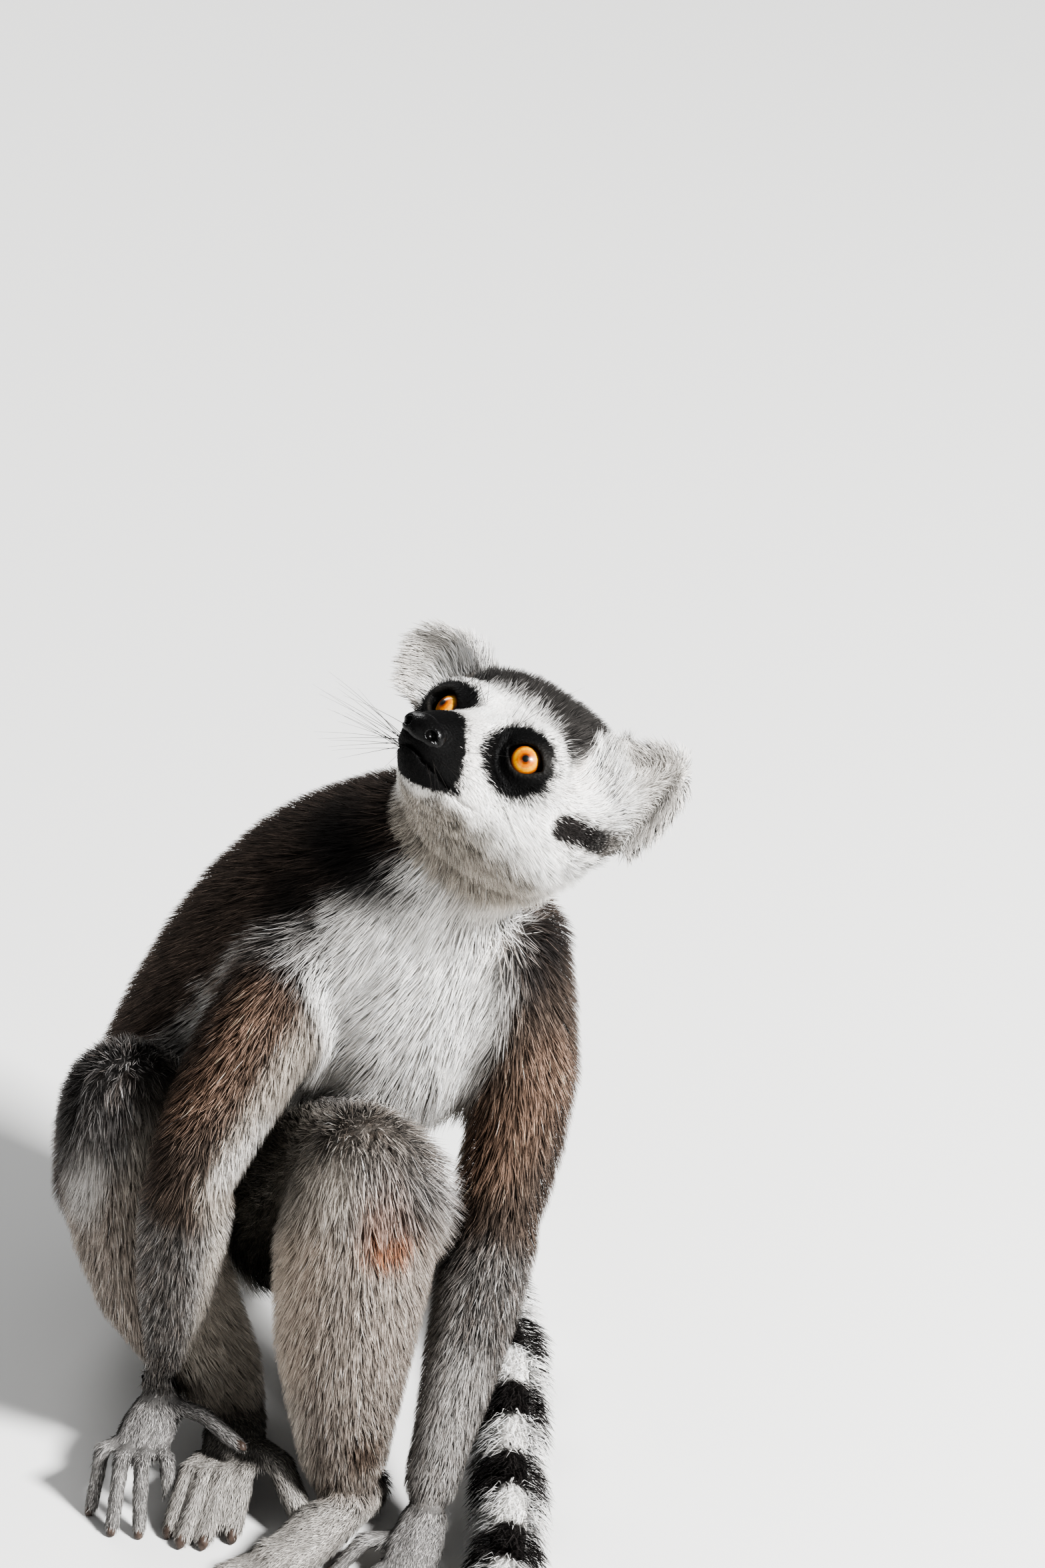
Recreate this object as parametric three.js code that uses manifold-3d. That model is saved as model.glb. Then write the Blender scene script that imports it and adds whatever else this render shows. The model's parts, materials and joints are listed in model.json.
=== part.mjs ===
// A ring-tailed lemur, life size, sitting with its hands down, chest forward, face turned up to its right.
// Millimetres, +Z up, the ground at Z = 0. The chest faces -Y and the animal's left is +X.
// Every solid reaches to the tips of the coat. Limbs, trunk, neck and tail are lofts of oval sections along a
// smooth line, and the head is a loft of egg-shaped sections from nose to nape. Solids later in the list are
// cut back from earlier ones.
import * as THREE from "three";
import { mergeVertices } from "three/addons/utils/BufferGeometryUtils.js";
import Module from "manifold-3d";

const wasm = await Module();
wasm.setup();

const V = (x, y, z) => new THREE.Vector3(x, y, z);
const DEG = Math.PI / 180;

// ---------------------------------------------------------------- driving dimensions
const GAP = 0.35; // between neighbouring solids
const CAP_TURN = 48 * DEG; // where the one ring of a rounded end lies, turned from its rim

// Joint centres of the pose.
const PELVIS = V(-60, 134, 56);
const WAIST = V(-48, 124, 103);
const RIBS = V(-23, 109, 153);
const CHEST = V(2, 89, 187);
const NECK_BASE = V(20, 72, 217);
const HEAD = V(45, 50, 251);
const HEAD_TURN = new THREE.Euler(-35.8 * DEG, 37 * DEG, -28.1 * DEG, "XYZ");

const ARM_LEFT = {
  shoulder: V(44, 66, 190),
  middle: V(50, 57, 145),
  elbow: V(44, 44, 104),
  wrist: V(20, -2, 19),
};
const ARM_RIGHT = {
  shoulder: V(-10, 78, 192),
  middle: V(-37, 47, 158),
  elbow: V(-55, 21, 131),
  wrist: V(-68.5, 44, 31),
};
const LEG_LEFT = {
  hip: V(-34, 124, 58),
  knee: V(0, 22, 129),
  calf: V(-3, 22, 104),
  shin: V(-7, 16, 68),
  ankle: V(-8, 10, 25),
};
const LEG_RIGHT = {
  hip: V(-74, 138, 58),
  knee: V(-78, 68, 124),
  calf: V(-75, 66, 98),
  shin: V(-68, 62, 60),
  ankle: V(-49, 54, 26),
};

// The deep fur of the breast, from the throat down over the raised knee.
const BREAST = [
  { at: V(25, 64, 206), halfWidths: [26, 20] },
  { at: V(19, 64, 183), halfWidths: [34, 27] },
  { at: V(12, 70, 158), halfWidths: [36, 31] },
  { at: V(5, 78, 136), halfWidths: [27, 24] },
];

// Half widths of the coated body, across and front to back.
const SIZE = {
  rump: [34, 34],
  pelvis: [45, 44],
  waist: [44, 46],
  ribs: [45, 47],
  chest: [44, 46],
  collar: [32, 33],
  nape: [31, 32],
  throat: [31, 30],
  shoulder: [23, 27],
  upperArm: [21, 22],
  elbow: [17, 17.5],
  forearm: [16.5, 17],
  lowerForearm: [13, 13.5],
  wrist: [10, 9],
  hip: [37, 42],
  thigh: [30, 35],
  knee: [25.5, 25],
  calf: [28, 29],
  shin: [25, 26],
  ankle: [16, 17],
  tailRoot: 14,
  tail: 17,
  tailTip: 13,
};

// Hands and feet: the palm's or sole's line, and each digit's turn outward and length. The digits spread from
// the little one to the inner one.
const HAND = { halfWidth: 10.5, thick: 7, radius: 3.7, rise: 3 };
const FOOT = { halfWidth: 11.5, thick: 9, radius: 4.5, rise: 3.5 };
const HAND_LEFT = {
  ...HAND,
  from: V(19, -4, 13),
  to: V(13, -32, 9),
  turns: [16, 5, -5, -16],
  lengths: [27, 34, 36, 29],
  thumb: { from: V(9, -14, 9), heading: 66 * DEG, length: 24, radius: 4.2, rise: 3 },
};
const HAND_RIGHT = {
  ...HAND,
  from: V(-69, 41, 26),
  to: V(-75, 20, 21),
  turns: [26, 2, -9, -30],
  lengths: [14, 22, 21, 14],
  thumb: { from: V(-64, 36, 27), heading: -44 * DEG, length: 34, radius: 4, rise: 3, tipHeight: 27 },
};
const FOOT_LEFT = {
  ...FOOT,
  from: V(0, 12, 12),
  to: V(-30, -34, 11),
  turns: [9, 3, -3, -9],
  lengths: [30, 36, 35, 29],
  thumb: { from: V(-18, -20, 10), heading: 62 * DEG, length: 36, radius: 5.2, rise: 5 },
};
const FOOT_RIGHT = {
  ...FOOT,
  from: V(-44, 66, 13),
  to: V(-45, 24, 14),
  turns: [24, 22, 19, 15],
  lengths: [28, 34, 34, 29],
  thumb: { from: V(-38, 29, 14), heading: -29 * DEG, length: 44, radius: 6, rise: 6 },
};

// The head, in its own frame: +X to its left, +Y behind it, +Z above it.
const EYE = { radius: 8.3, out: 15, front: 24.6, up: 9 };
const SOCKET = { out: 17.8, front: 34, up: 9.3, radius: 11.5, depth: 6, turn: 25 * DEG };
const EAR = { halfWidth: 13.5, thick: 6 };
const EAR_LEFT = { base: V(31, -2, 7), tip: V(50.5, -7, 38.5) };
const EAR_RIGHT = { base: V(-29, -3, 14), tip: V(-56, -8, 28.5) };
const NOSE = { halfWidth: 7.1, halfDepth: 4.1, halfHeight: 5.4, front: 62, up: -3.2 };
const NOSTRIL = { radius: 1.8, out: 5, front: 64.2, up: -3.6 };
const HEAD_SIDES = 18;
const HEAD_RINGS = 14;

// The head's sections from the nose back: distance behind the head's middle, half width, top, height of the
// widest line, and bottom.
const HEAD_SECTIONS = [
  { y: -63.5, wide: 5.5, top: 0.5, mid: -4, low: -8 },
  { y: -61, wide: 8, top: 3, mid: -5, low: -12.5 },
  { y: -56, wide: 10, top: 5.5, mid: -6, low: -16.5 },
  { y: -50, wide: 11.5, top: 8.5, mid: -7, low: -19.5 },
  { y: -44, wide: 13.5, top: 11, mid: -8, low: -21.5 },
  { y: -38, wide: 17, top: 14, mid: -8, low: -23 },
  { y: -32, wide: 22, top: 18.5, mid: -6, low: -24.5 },
  { y: -25, wide: 27.5, top: 25, mid: -5, low: -26 },
  { y: -15, wide: 33, top: 32.5, mid: -6, low: -28.5 },
  { y: -4, wide: 36.5, top: 35, mid: -8, low: -30 },
  { y: 8, wide: 36.5, top: 34, mid: -7, low: -29 },
  { y: 19, wide: 31, top: 29, mid: -3, low: -24 },
  { y: 27, wide: 21, top: 21, mid: 0, low: -15 },
  { y: 31.5, wide: 10, top: 11, mid: 2, low: -6 },
];

// ---------------------------------------------------------------- solids and cuts
// A closed geometry as a manifold solid, with its shared vertices merged.
function solidOf(geometry) {
  const plain = geometry.clone();
  plain.deleteAttribute("normal");
  plain.deleteAttribute("uv");
  const merged = mergeVertices(plain, 1e-4);
  return new wasm.Manifold(
    new wasm.Mesh({
      numProp: 3,
      vertProperties: new Float32Array(merged.attributes.position.array),
      triVerts: new Uint32Array(merged.index.array),
    }),
  );
}

function geometryOf(solid) {
  const mesh = solid.getMesh();
  const geometry = new THREE.BufferGeometry();
  const positions = new Float32Array(mesh.vertProperties);
  geometry.setAttribute("position", new THREE.BufferAttribute(positions, 3));
  geometry.setIndex(new THREE.BufferAttribute(new Uint32Array(mesh.triVerts), 1));
  geometry.computeVertexNormals();
  return geometry;
}

// A closed skin over rings of equal length, with a pole point at each end.
function skinRings(rings, firstPole, lastPole) {
  const sides = rings[0].length;
  const points = rings.flat();
  const triangles = [];
  for (let r = 0; r + 1 < rings.length; r++) {
    for (let s = 0; s < sides; s++) {
      const a = r * sides + s;
      const b = r * sides + ((s + 1) % sides);
      triangles.push(a, b, a + sides, b, b + sides, a + sides);
    }
  }
  const first = points.push(firstPole) - 1;
  const last = points.push(lastPole) - 1;
  const lastRing = (rings.length - 1) * sides;
  for (let s = 0; s < sides; s++) {
    const next = (s + 1) % sides;
    triangles.push(first, next, s);
    triangles.push(last, lastRing + s, lastRing + next);
  }
  const geometry = new THREE.BufferGeometry().setFromPoints(points);
  geometry.setIndex(triangles);
  return geometry;
}

const smooth = (points) => new THREE.CatmullRomCurve3(points, false, "catmullrom", 0.5);

const between = (a, b, share) => a.clone().lerp(b, share);

// One oval station of a loft.
const station = (at, [wide, deep]) => ({ at, wide, deep });

// A round-ended tube of oval sections along a smooth line through the stations. `side` is the direction of
// the sections' width, and `grow` adds to every half width, to make a cutter.
function loft(stations, { side, sides, rings, grow = 0 }) {
  const line = smooth(stations.map((s) => s.at));
  const sizes = smooth(stations.map((s) => V(s.wide + grow, s.deep + grow, 0)));
  const ringAt = (t, along, share) => {
    const tangent = line.getTangent(t);
    const size = sizes.getPoint(t);
    const across = side.clone().addScaledVector(tangent, -side.dot(tangent)).normalize();
    const deep = tangent.clone().cross(across);
    const centre = line.getPoint(t).addScaledVector(tangent, along * Math.min(size.x, size.y));
    return Array.from({ length: sides }, (_, k) => {
      const turn = (2 * Math.PI * k) / sides;
      return centre
        .clone()
        .addScaledVector(across, size.x * share * Math.cos(turn))
        .addScaledVector(deep, size.y * share * Math.sin(turn));
    });
  };
  const pole = (t, sign) => {
    const size = sizes.getPoint(t);
    return line.getPoint(t).addScaledVector(line.getTangent(t), sign * Math.min(size.x, size.y));
  };
  const all = [
    ringAt(0, -Math.sin(CAP_TURN), Math.cos(CAP_TURN)),
    ...Array.from({ length: rings + 1 }, (_, k) => ringAt(k / rings, 0, 1)),
    ringAt(1, Math.sin(CAP_TURN), Math.cos(CAP_TURN)),
  ];
  return solidOf(skinRings(all, pole(0, -1), pole(1, 1)));
}

const join = (solids) => solids.reduce((all, one) => all.add(one));

// Everything below the ground, cut from what rests on it.
const BELOW_GROUND = solidOf(new THREE.BoxGeometry(1000, 1000, 100).translate(0, 0, -50));

// ---------------------------------------------------------------- trunk, neck and tail
const LATERAL = V(0.92, -0.38, 0).normalize();

function trunk(grow) {
  const low = PELVIS.clone().add(V(-3, 7, -26));
  const body = loft(
    [
      station(low, SIZE.rump),
      station(PELVIS, SIZE.pelvis),
      station(WAIST, SIZE.waist),
      station(RIBS, SIZE.ribs),
      station(CHEST, SIZE.chest),
      station(NECK_BASE, SIZE.collar),
    ],
    { side: LATERAL, sides: 16, rings: 11, grow },
  );
  const breast = BREAST.map(({ at, halfWidths }) => station(at, halfWidths));
  return body.add(loft(breast, { side: LATERAL, sides: 12, rings: 5, grow }));
}

function neck(grow) {
  const head = HEAD.clone().add(V(2, 8, -12));
  return loft(
    [
      station(NECK_BASE.clone().add(V(-3, 4, -10)), SIZE.nape),
      station(between(NECK_BASE, head, 0.55), SIZE.throat),
      station(head, SIZE.throat),
    ],
    { side: LATERAL, sides: 12, rings: 3, grow },
  );
}

const TAIL_NODES = 7;
const TAIL_STEPS = 4;
const TAIL_SIDES = 10;
const TAIL_LINE = smooth([
  V(-68, 156, 36),
  V(-66, 186, 20),
  V(-38, 202, 14.7),
  V(4, 180, 16),
  V(34, 134, 16),
  V(46, 80, 16),
  V(46, 24, 16),
  V(45, -34, 16),
  V(34, -94, 16),
  V(-8, -130, 15.8),
  V(-62, -134, 13.6),
  V(-104, -110, 12.2),
]);

function tailRadius(t) {
  const swell = THREE.MathUtils.smoothstep(t, 0, 0.2);
  const taper = THREE.MathUtils.smoothstep(t, 0.82, 1);
  return SIZE.tailRoot + (SIZE.tail - SIZE.tailRoot) * swell - (SIZE.tail - SIZE.tailTip) * taper;
}

function tailRing(t, radius) {
  const tangent = TAIL_LINE.getTangentAt(t);
  const up = V(0, 0, 1).addScaledVector(tangent, -tangent.z).normalize();
  const across = up.clone().cross(tangent);
  return Array.from({ length: TAIL_SIDES }, (_, k) => {
    const turn = (2 * Math.PI * k) / TAIL_SIDES;
    return TAIL_LINE.getPointAt(t)
      .addScaledVector(across, radius * Math.cos(turn))
      .addScaledVector(up, radius * Math.sin(turn));
  });
}

// One length of the tail, its ends square to the line and GAP from the next. The last has a rounded tip.
function tailLength(index) {
  const share = GAP / TAIL_LINE.getLength();
  const from = index / TAIL_NODES + (index ? share / 2 : 0);
  const to = (index + 1) / TAIL_NODES - (index < TAIL_NODES - 1 ? share / 2 : 0);
  const rings = Array.from({ length: TAIL_STEPS + 1 }, (_, k) => {
    const t = from + ((to - from) * k) / TAIL_STEPS;
    return tailRing(t, tailRadius(t));
  });
  const last = TAIL_LINE.getPointAt(to);
  if (index === TAIL_NODES - 1) {
    const ahead = TAIL_LINE.getTangentAt(1).multiplyScalar(SIZE.tailTip);
    rings.push(tailRing(1, SIZE.tailTip * 0.7).map((p) => p.addScaledVector(ahead, 0.7)));
    last.add(ahead);
  }
  return solidOf(skinRings(rings, TAIL_LINE.getPointAt(from), last));
}

// ---------------------------------------------------------------- head
const headMatrix = new THREE.Matrix4().makeRotationFromEuler(HEAD_TURN).setPosition(HEAD);
const inHead = (geometry) => geometry.applyMatrix4(headMatrix);

const sectionLine = (key) => smooth(HEAD_SECTIONS.map((s) => V(s.y, s[key], 0)));
const HEAD_LINES = {
  wide: sectionLine("wide"),
  top: sectionLine("top"),
  mid: sectionLine("mid"),
  low: sectionLine("low"),
};

// One section of the head: an oval, its upper half squared a little towards the flat brow.
function headRing(t, grow) {
  const at = (key) => HEAD_LINES[key].getPoint(t);
  const y = at("wide").x;
  const wide = at("wide").y + grow;
  const mid = at("mid").y;
  const above = at("top").y + grow - mid;
  const below = mid - (at("low").y - grow);
  const square = 0.9 - 0.2 * THREE.MathUtils.smoothstep(y, -50, -12);
  const bent = (value, power) => Math.sign(value) * Math.abs(value) ** power;
  return Array.from({ length: HEAD_SIDES }, (_, k) => {
    const turn = (2 * Math.PI * k) / HEAD_SIDES;
    const power = turn < Math.PI ? square : 1;
    const rise = bent(Math.sin(turn), power);
    return V(-wide * bent(Math.cos(turn), power), y, mid + rise * (rise > 0 ? above : below));
  });
}

function headShape(grow) {
  const rings = Array.from({ length: HEAD_RINGS + 1 }, (_, r) => headRing(r / HEAD_RINGS, grow));
  const first = HEAD_SECTIONS[0];
  const last = HEAD_SECTIONS.at(-1);
  const front = V(0, first.y - 1.2 - grow, first.mid);
  const back = V(0, last.y + 2.5 + grow, last.mid);
  return solidOf(inHead(skinRings(rings, front, back))).subtract(socket(1)).subtract(socket(-1));
}

// The shallow hollow round an eye, facing forward and a little out.
function socket(sign) {
  const bowl = new THREE.SphereGeometry(SOCKET.radius, 10, 6).scale(1, SOCKET.depth / SOCKET.radius, 1);
  bowl.rotateZ(sign * SOCKET.turn);
  return solidOf(inHead(bowl.translate(sign * SOCKET.out, -SOCKET.front, SOCKET.up)));
}

function eye(sign, grow) {
  const ball = new THREE.SphereGeometry(EYE.radius + grow, 12, 7);
  return solidOf(inHead(ball.translate(sign * EYE.out, -EYE.front, EYE.up)));
}

function nostril(sign) {
  const hollow = new THREE.SphereGeometry(NOSTRIL.radius, 5, 3).scale(1, 1.2, 0.8);
  return solidOf(inHead(hollow.translate(sign * NOSTRIL.out, -NOSTRIL.front, NOSTRIL.up)));
}

// The bare pad at the tip of the muzzle, with its two nostrils.
function nosePad() {
  const pad = new THREE.SphereGeometry(1, 8, 6).scale(NOSE.halfWidth, NOSE.halfDepth, NOSE.halfHeight);
  const whole = solidOf(inHead(pad.translate(0, -NOSE.front, NOSE.up)));
  return whole.subtract(nostril(1)).subtract(nostril(-1));
}

// A leaf-shaped ear on one side of the head, with a hollow in its front.
function ear(sign, { base, tip }) {
  const { halfWidth, thick } = EAR;
  const along = tip.clone().sub(base).normalize();
  const length = tip.distanceTo(base);
  const side = V(sign * 0.35, -0.94, 0).cross(along).normalize();
  const front = along.clone().cross(side);
  const at = (share, wide, deep) => station(between(base, tip, share), [halfWidth * wide, thick * deep]);
  const stations = [at(-0.12, 0.8, 1.1), at(0.25, 1, 1), at(0.6, 0.85, 0.8), at(0.9, 0.4, 0.4)];
  const leaf = loft(stations, { side, sides: 10, rings: 5 });
  const bowl = new THREE.SphereGeometry(1, 8, 6).scale(halfWidth * 0.66, thick * 0.9, length * 0.36);
  const middle = base.clone().addScaledVector(along, length * 0.34).addScaledVector(front, thick * 0.95);
  bowl.applyMatrix4(new THREE.Matrix4().makeBasis(side, front, along).setPosition(middle));
  return solidOf(inHead(geometryOf(leaf))).subtract(solidOf(inHead(bowl)));
}

// ---------------------------------------------------------------- limbs
function upperArm({ shoulder, middle, elbow }, grow) {
  return loft(
    [station(shoulder, SIZE.shoulder), station(middle, SIZE.upperArm), station(elbow, SIZE.elbow)],
    { side: LATERAL, sides: 12, rings: 4, grow },
  );
}

function forearm({ elbow, wrist }, grow) {
  return loft(
    [
      station(between(elbow, wrist, 0.05), SIZE.forearm),
      station(between(elbow, wrist, 0.35), SIZE.forearm),
      station(between(elbow, wrist, 0.66), SIZE.lowerForearm),
      station(between(elbow, wrist, 0.97), SIZE.wrist),
    ],
    { side: LATERAL, sides: 12, rings: 4, grow },
  );
}

function thigh({ hip, knee }, grow) {
  return loft(
    [
      station(hip, SIZE.hip),
      station(between(hip, knee, 0.5), SIZE.thigh),
      station(between(hip, knee, 0.95), SIZE.knee),
    ],
    { side: LATERAL, sides: 12, rings: 4, grow },
  );
}

function lowerLeg({ knee, calf, shin, ankle }, grow) {
  return loft(
    [
      station(knee, SIZE.knee),
      station(calf, SIZE.calf),
      station(shin, SIZE.shin),
      station(ankle, SIZE.ankle),
    ],
    { side: LATERAL, sides: 12, rings: 6, grow },
  );
}

// A finger or toe from its knuckle: up over the middle joint and down to its tip, which rests on the ground
// unless its height is given.
function digit(knuckle, { heading, length, radius, rise, tipHeight = radius * 0.75 }, grow) {
  const ahead = V(-Math.sin(heading), -Math.cos(heading), 0);
  const middle = knuckle.clone().addScaledVector(ahead, length * 0.42).add(V(0, 0, rise));
  const tip = knuckle.clone().addScaledVector(ahead, length * 0.9);
  tip.z = tipHeight;
  return loft(
    [
      station(knuckle, [radius * 1.15, radius * 1.1]),
      station(middle, [radius, radius]),
      station(tip, [radius * 0.95, radius * 0.85]),
    ],
    { side: ahead.clone().cross(V(0, 0, 1)), sides: 6, rings: 2, grow },
  );
}

// A hand or foot: a flat palm or sole from `from` to `to`, four digits fanned across its end, and a thumb or
// big toe at its inner side.
function paw({ from, to, halfWidth, thick, turns, lengths, radius, rise, thumb }, grow) {
  const ahead = to.clone().sub(from).setZ(0).normalize();
  const across = V(-ahead.y, ahead.x, 0);
  const heading = Math.atan2(-ahead.x, -ahead.y);
  const palm = loft(
    [
      station(from, [halfWidth * 0.78, thick * 1.15]),
      station(between(from, to, 0.55), [halfWidth, thick]),
      station(to, [halfWidth, thick * 0.8]),
    ],
    { side: across, sides: 8, rings: 2, grow },
  );
  const pitch = (halfWidth * 1.5) / (lengths.length - 1);
  const fingers = lengths.map((length, k) => {
    const knuckle = to.clone().addScaledVector(across, (k - (lengths.length - 1) / 2) * pitch);
    return digit(knuckle, { heading: heading + turns[k] * DEG, length, radius, rise }, grow);
  });
  return join([palm, ...fingers, digit(thumb.from, thumb, grow)]);
}

// ---------------------------------------------------------------- the animal
const MATERIALS = {
  coat: { color: 0x8a8079, roughness: 0.9 },
  back: { color: 0x5f5650, roughness: 0.9 },
  white: { color: 0xe6e1da, roughness: 0.9 },
  pale: { color: 0xb3aca4, roughness: 0.9 },
  dark: { color: 0x1c1b1c, roughness: 0.85 },
  nose: { color: 0x141314, roughness: 0.45 },
  eye: { color: 0xd67a16, roughness: 0.1 },
};

// Each part is a name, a material, and a function that makes its solid, grown by a gap where it is a cutter.
const PARTS = [
  ["eye_left", "eye", (grow) => eye(1, grow)],
  ["eye_right", "eye", (grow) => eye(-1, grow)],
  ["head", "white", headShape],
  ["trunk", "back", trunk],
  ["neck", "white", neck],
  ["upper_arm_left", "coat", (grow) => upperArm(ARM_LEFT, grow)],
  ["upper_arm_right", "coat", (grow) => upperArm(ARM_RIGHT, grow)],
  ["thigh_left", "coat", (grow) => thigh(LEG_LEFT, grow)],
  ["thigh_right", "coat", (grow) => thigh(LEG_RIGHT, grow)],
  ["shin_left", "coat", (grow) => lowerLeg(LEG_LEFT, grow)],
  ["shin_right", "coat", (grow) => lowerLeg(LEG_RIGHT, grow)],
  ["forearm_left", "coat", (grow) => forearm(ARM_LEFT, grow)],
  ["forearm_right", "coat", (grow) => forearm(ARM_RIGHT, grow)],
  ["foot_left", "pale", (grow) => paw(FOOT_LEFT, grow)],
  ["foot_right", "pale", (grow) => paw(FOOT_RIGHT, grow)],
  ["hand_left", "pale", (grow) => paw(HAND_LEFT, grow)],
  ["hand_right", "pale", (grow) => paw(HAND_RIGHT, grow)],
];
const LAST_PARTS = [
  ["nose", "nose", nosePad],
  ["ear_left", "white", () => ear(1, EAR_LEFT)],
  ["ear_right", "white", () => ear(-1, EAR_RIGHT)],
];
for (let k = 0; k < TAIL_NODES; k++) {
  LAST_PARTS.push([`tail_${k + 1}`, k % 2 ? "dark" : "white", () => tailLength(k)]);
}

const animal = new THREE.Group();
const cutters = [];

function place(name, material, solid) {
  const cut = cutters.reduce((left, cutter) => left.subtract(cutter), solid.subtract(BELOW_GROUND));
  const mesh = new THREE.Mesh(geometryOf(cut), new THREE.MeshStandardMaterial(MATERIALS[material]));
  mesh.name = name;
  animal.add(mesh);
}

for (const [name, material, make] of PARTS) {
  place(name, material, make(0));
  cutters.push(make(GAP));
}
for (const [name, material, make] of LAST_PARTS) place(name, material, make());

// The origin is on the ground, in the middle of the whole outline seen from above.
const outline = new THREE.Box3().setFromObject(animal);
const centre = outline.getCenter(V(0, 0, 0));
animal.position.set(-centre.x, -centre.y, 0);

export default animal;
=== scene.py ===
"""A ring-tailed lemur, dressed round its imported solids: one skin inside them, the eyes, nose, nails and
whiskers, and a coat of mesh tufts that follow the lie of the fur.

Lengths are millimetres, in the part's frame, until mesh_object() turns them into Blender's metres. The
head has a frame of its own: +x to its left, +y behind it, +z above it.
"""

import itertools
import json
import math
import re
from collections import namedtuple

import bpy
import numpy as np
import openvdb
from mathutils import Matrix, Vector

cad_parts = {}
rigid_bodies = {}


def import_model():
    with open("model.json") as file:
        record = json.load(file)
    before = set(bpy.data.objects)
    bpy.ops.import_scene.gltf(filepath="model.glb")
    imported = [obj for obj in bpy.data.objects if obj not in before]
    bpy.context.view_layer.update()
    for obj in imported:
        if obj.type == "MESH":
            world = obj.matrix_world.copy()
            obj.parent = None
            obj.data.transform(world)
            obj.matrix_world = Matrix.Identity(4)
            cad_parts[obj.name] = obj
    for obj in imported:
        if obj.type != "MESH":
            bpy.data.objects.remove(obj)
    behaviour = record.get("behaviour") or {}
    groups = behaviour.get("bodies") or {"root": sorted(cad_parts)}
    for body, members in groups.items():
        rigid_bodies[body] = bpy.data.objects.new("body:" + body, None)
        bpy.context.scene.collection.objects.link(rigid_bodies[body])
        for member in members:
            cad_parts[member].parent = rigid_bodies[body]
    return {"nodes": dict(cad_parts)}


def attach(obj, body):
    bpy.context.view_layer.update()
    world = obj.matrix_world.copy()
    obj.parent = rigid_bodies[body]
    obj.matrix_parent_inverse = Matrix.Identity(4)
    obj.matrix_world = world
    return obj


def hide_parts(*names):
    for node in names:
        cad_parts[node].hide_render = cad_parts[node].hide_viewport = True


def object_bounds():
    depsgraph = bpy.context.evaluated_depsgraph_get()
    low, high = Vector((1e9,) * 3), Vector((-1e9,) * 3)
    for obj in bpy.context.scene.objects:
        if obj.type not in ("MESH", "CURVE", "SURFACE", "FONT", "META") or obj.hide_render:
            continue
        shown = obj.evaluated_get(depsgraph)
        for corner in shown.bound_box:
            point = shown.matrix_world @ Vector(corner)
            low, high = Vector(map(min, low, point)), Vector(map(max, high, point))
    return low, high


for default in list(bpy.data.objects):
    bpy.data.objects.remove(default)

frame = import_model()
cad_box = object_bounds()

MM = 0.001
RNG = np.random.default_rng(7)
CAMERA_PITCH = math.radians(30)
TO_CAMERA = np.array([0, -math.cos(CAMERA_PITCH), math.sin(CAMERA_PITCH)])

# ---------------------------------------------------------------- pose, as in the part's source
SHIFT = np.array([7.66, -32.11, 0.0])  # from the pose's own origin to the part's


def at(x, y, z):
    """A point of the pose, in the part's frame."""
    return np.array([x, y, z], float) + SHIFT


HEAD = at(45, 50, 251)
SPINE = [HEAD, at(20, 72, 217), at(2, 89, 187), at(-23, 109, 153)]
SPINE += [at(-48, 124, 103), at(-60, 134, 56), at(-63, 141, 20)]
SIDES = {"left": 1, "right": -1}
ARM = {
    "left": [at(44, 66, 190), at(50, 57, 145), at(44, 44, 104), at(20, -2, 19)],
    "right": [at(-10, 78, 192), at(-37, 47, 158), at(-55, 21, 131), at(-68.5, 44, 31)],
}
LEG = {
    "left": [at(-34, 124, 58), at(0, 22, 129), at(-3, 22, 104), at(-7, 16, 68), at(-8, 10, 25)],
    "right": [at(-74, 138, 58), at(-78, 68, 124), at(-75, 66, 98), at(-68, 62, 60), at(-49, 54, 26)],
}
TAIL = [at(-68, 156, 36), at(-66, 186, 20), at(-38, 202, 14.7), at(4, 180, 16), at(34, 134, 16)]
TAIL += [at(46, 80, 16), at(46, 24, 16), at(45, -34, 16), at(34, -94, 16), at(-8, -130, 15.8)]
TAIL += [at(-62, -134, 13.6), at(-104, -110, 12.2)]

# Hands and feet: the palm's or sole's line and half width, the digits' turns and lengths, their radius and
# rise, and the thumb's or big toe's start, heading, length, radius, rise and, off the ground, tip's height.
Paw = namedtuple("Paw", "palm half_width turns lengths radius rise thumb")
PAWS = {
    "hand_left": Paw(
        [at(19, -4, 13), at(13, -32, 9)], 10.5, (16, 5, -5, -16), (27, 34, 36, 29), 3.7, 3,
        (at(9, -14, 9), 66, 24, 4.2, 3),
    ),
    "hand_right": Paw(
        [at(-69, 41, 26), at(-75, 20, 21)], 10.5, (26, 2, -9, -30), (14, 22, 21, 14), 3.7, 3,
        (at(-64, 36, 27), -44, 34, 4, 3, 27),
    ),
    "foot_left": Paw(
        [at(0, 12, 12), at(-30, -34, 11)], 11.5, (9, 3, -3, -9), (30, 36, 35, 29), 4.5, 3.5,
        (at(-18, -20, 10), 62, 36, 5.2, 5),
    ),
    "foot_right": Paw(
        [at(-44, 66, 13), at(-45, 24, 14)], 11.5, (24, 22, 19, 15), (28, 34, 34, 29), 4.5, 3.5,
        (at(-38, 29, 14), -29, 44, 6, 6),
    ),
}


def turned(axis, degrees):
    """A rotation matrix about one of the axes 0, 1 or 2."""
    c, s = math.cos(math.radians(degrees)), math.sin(math.radians(degrees))
    m = np.eye(3)
    a, b = (axis + 1) % 3, (axis + 2) % 3
    m[a, a], m[a, b], m[b, a], m[b, b] = c, -s, s, c
    return m


HEAD_TURN = turned(0, -35.8) @ turned(1, 37.0) @ turned(2, -28.1)


def to_head(points):
    """Points of the part's frame, in the head's."""
    return (points - HEAD) @ HEAD_TURN


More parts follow.
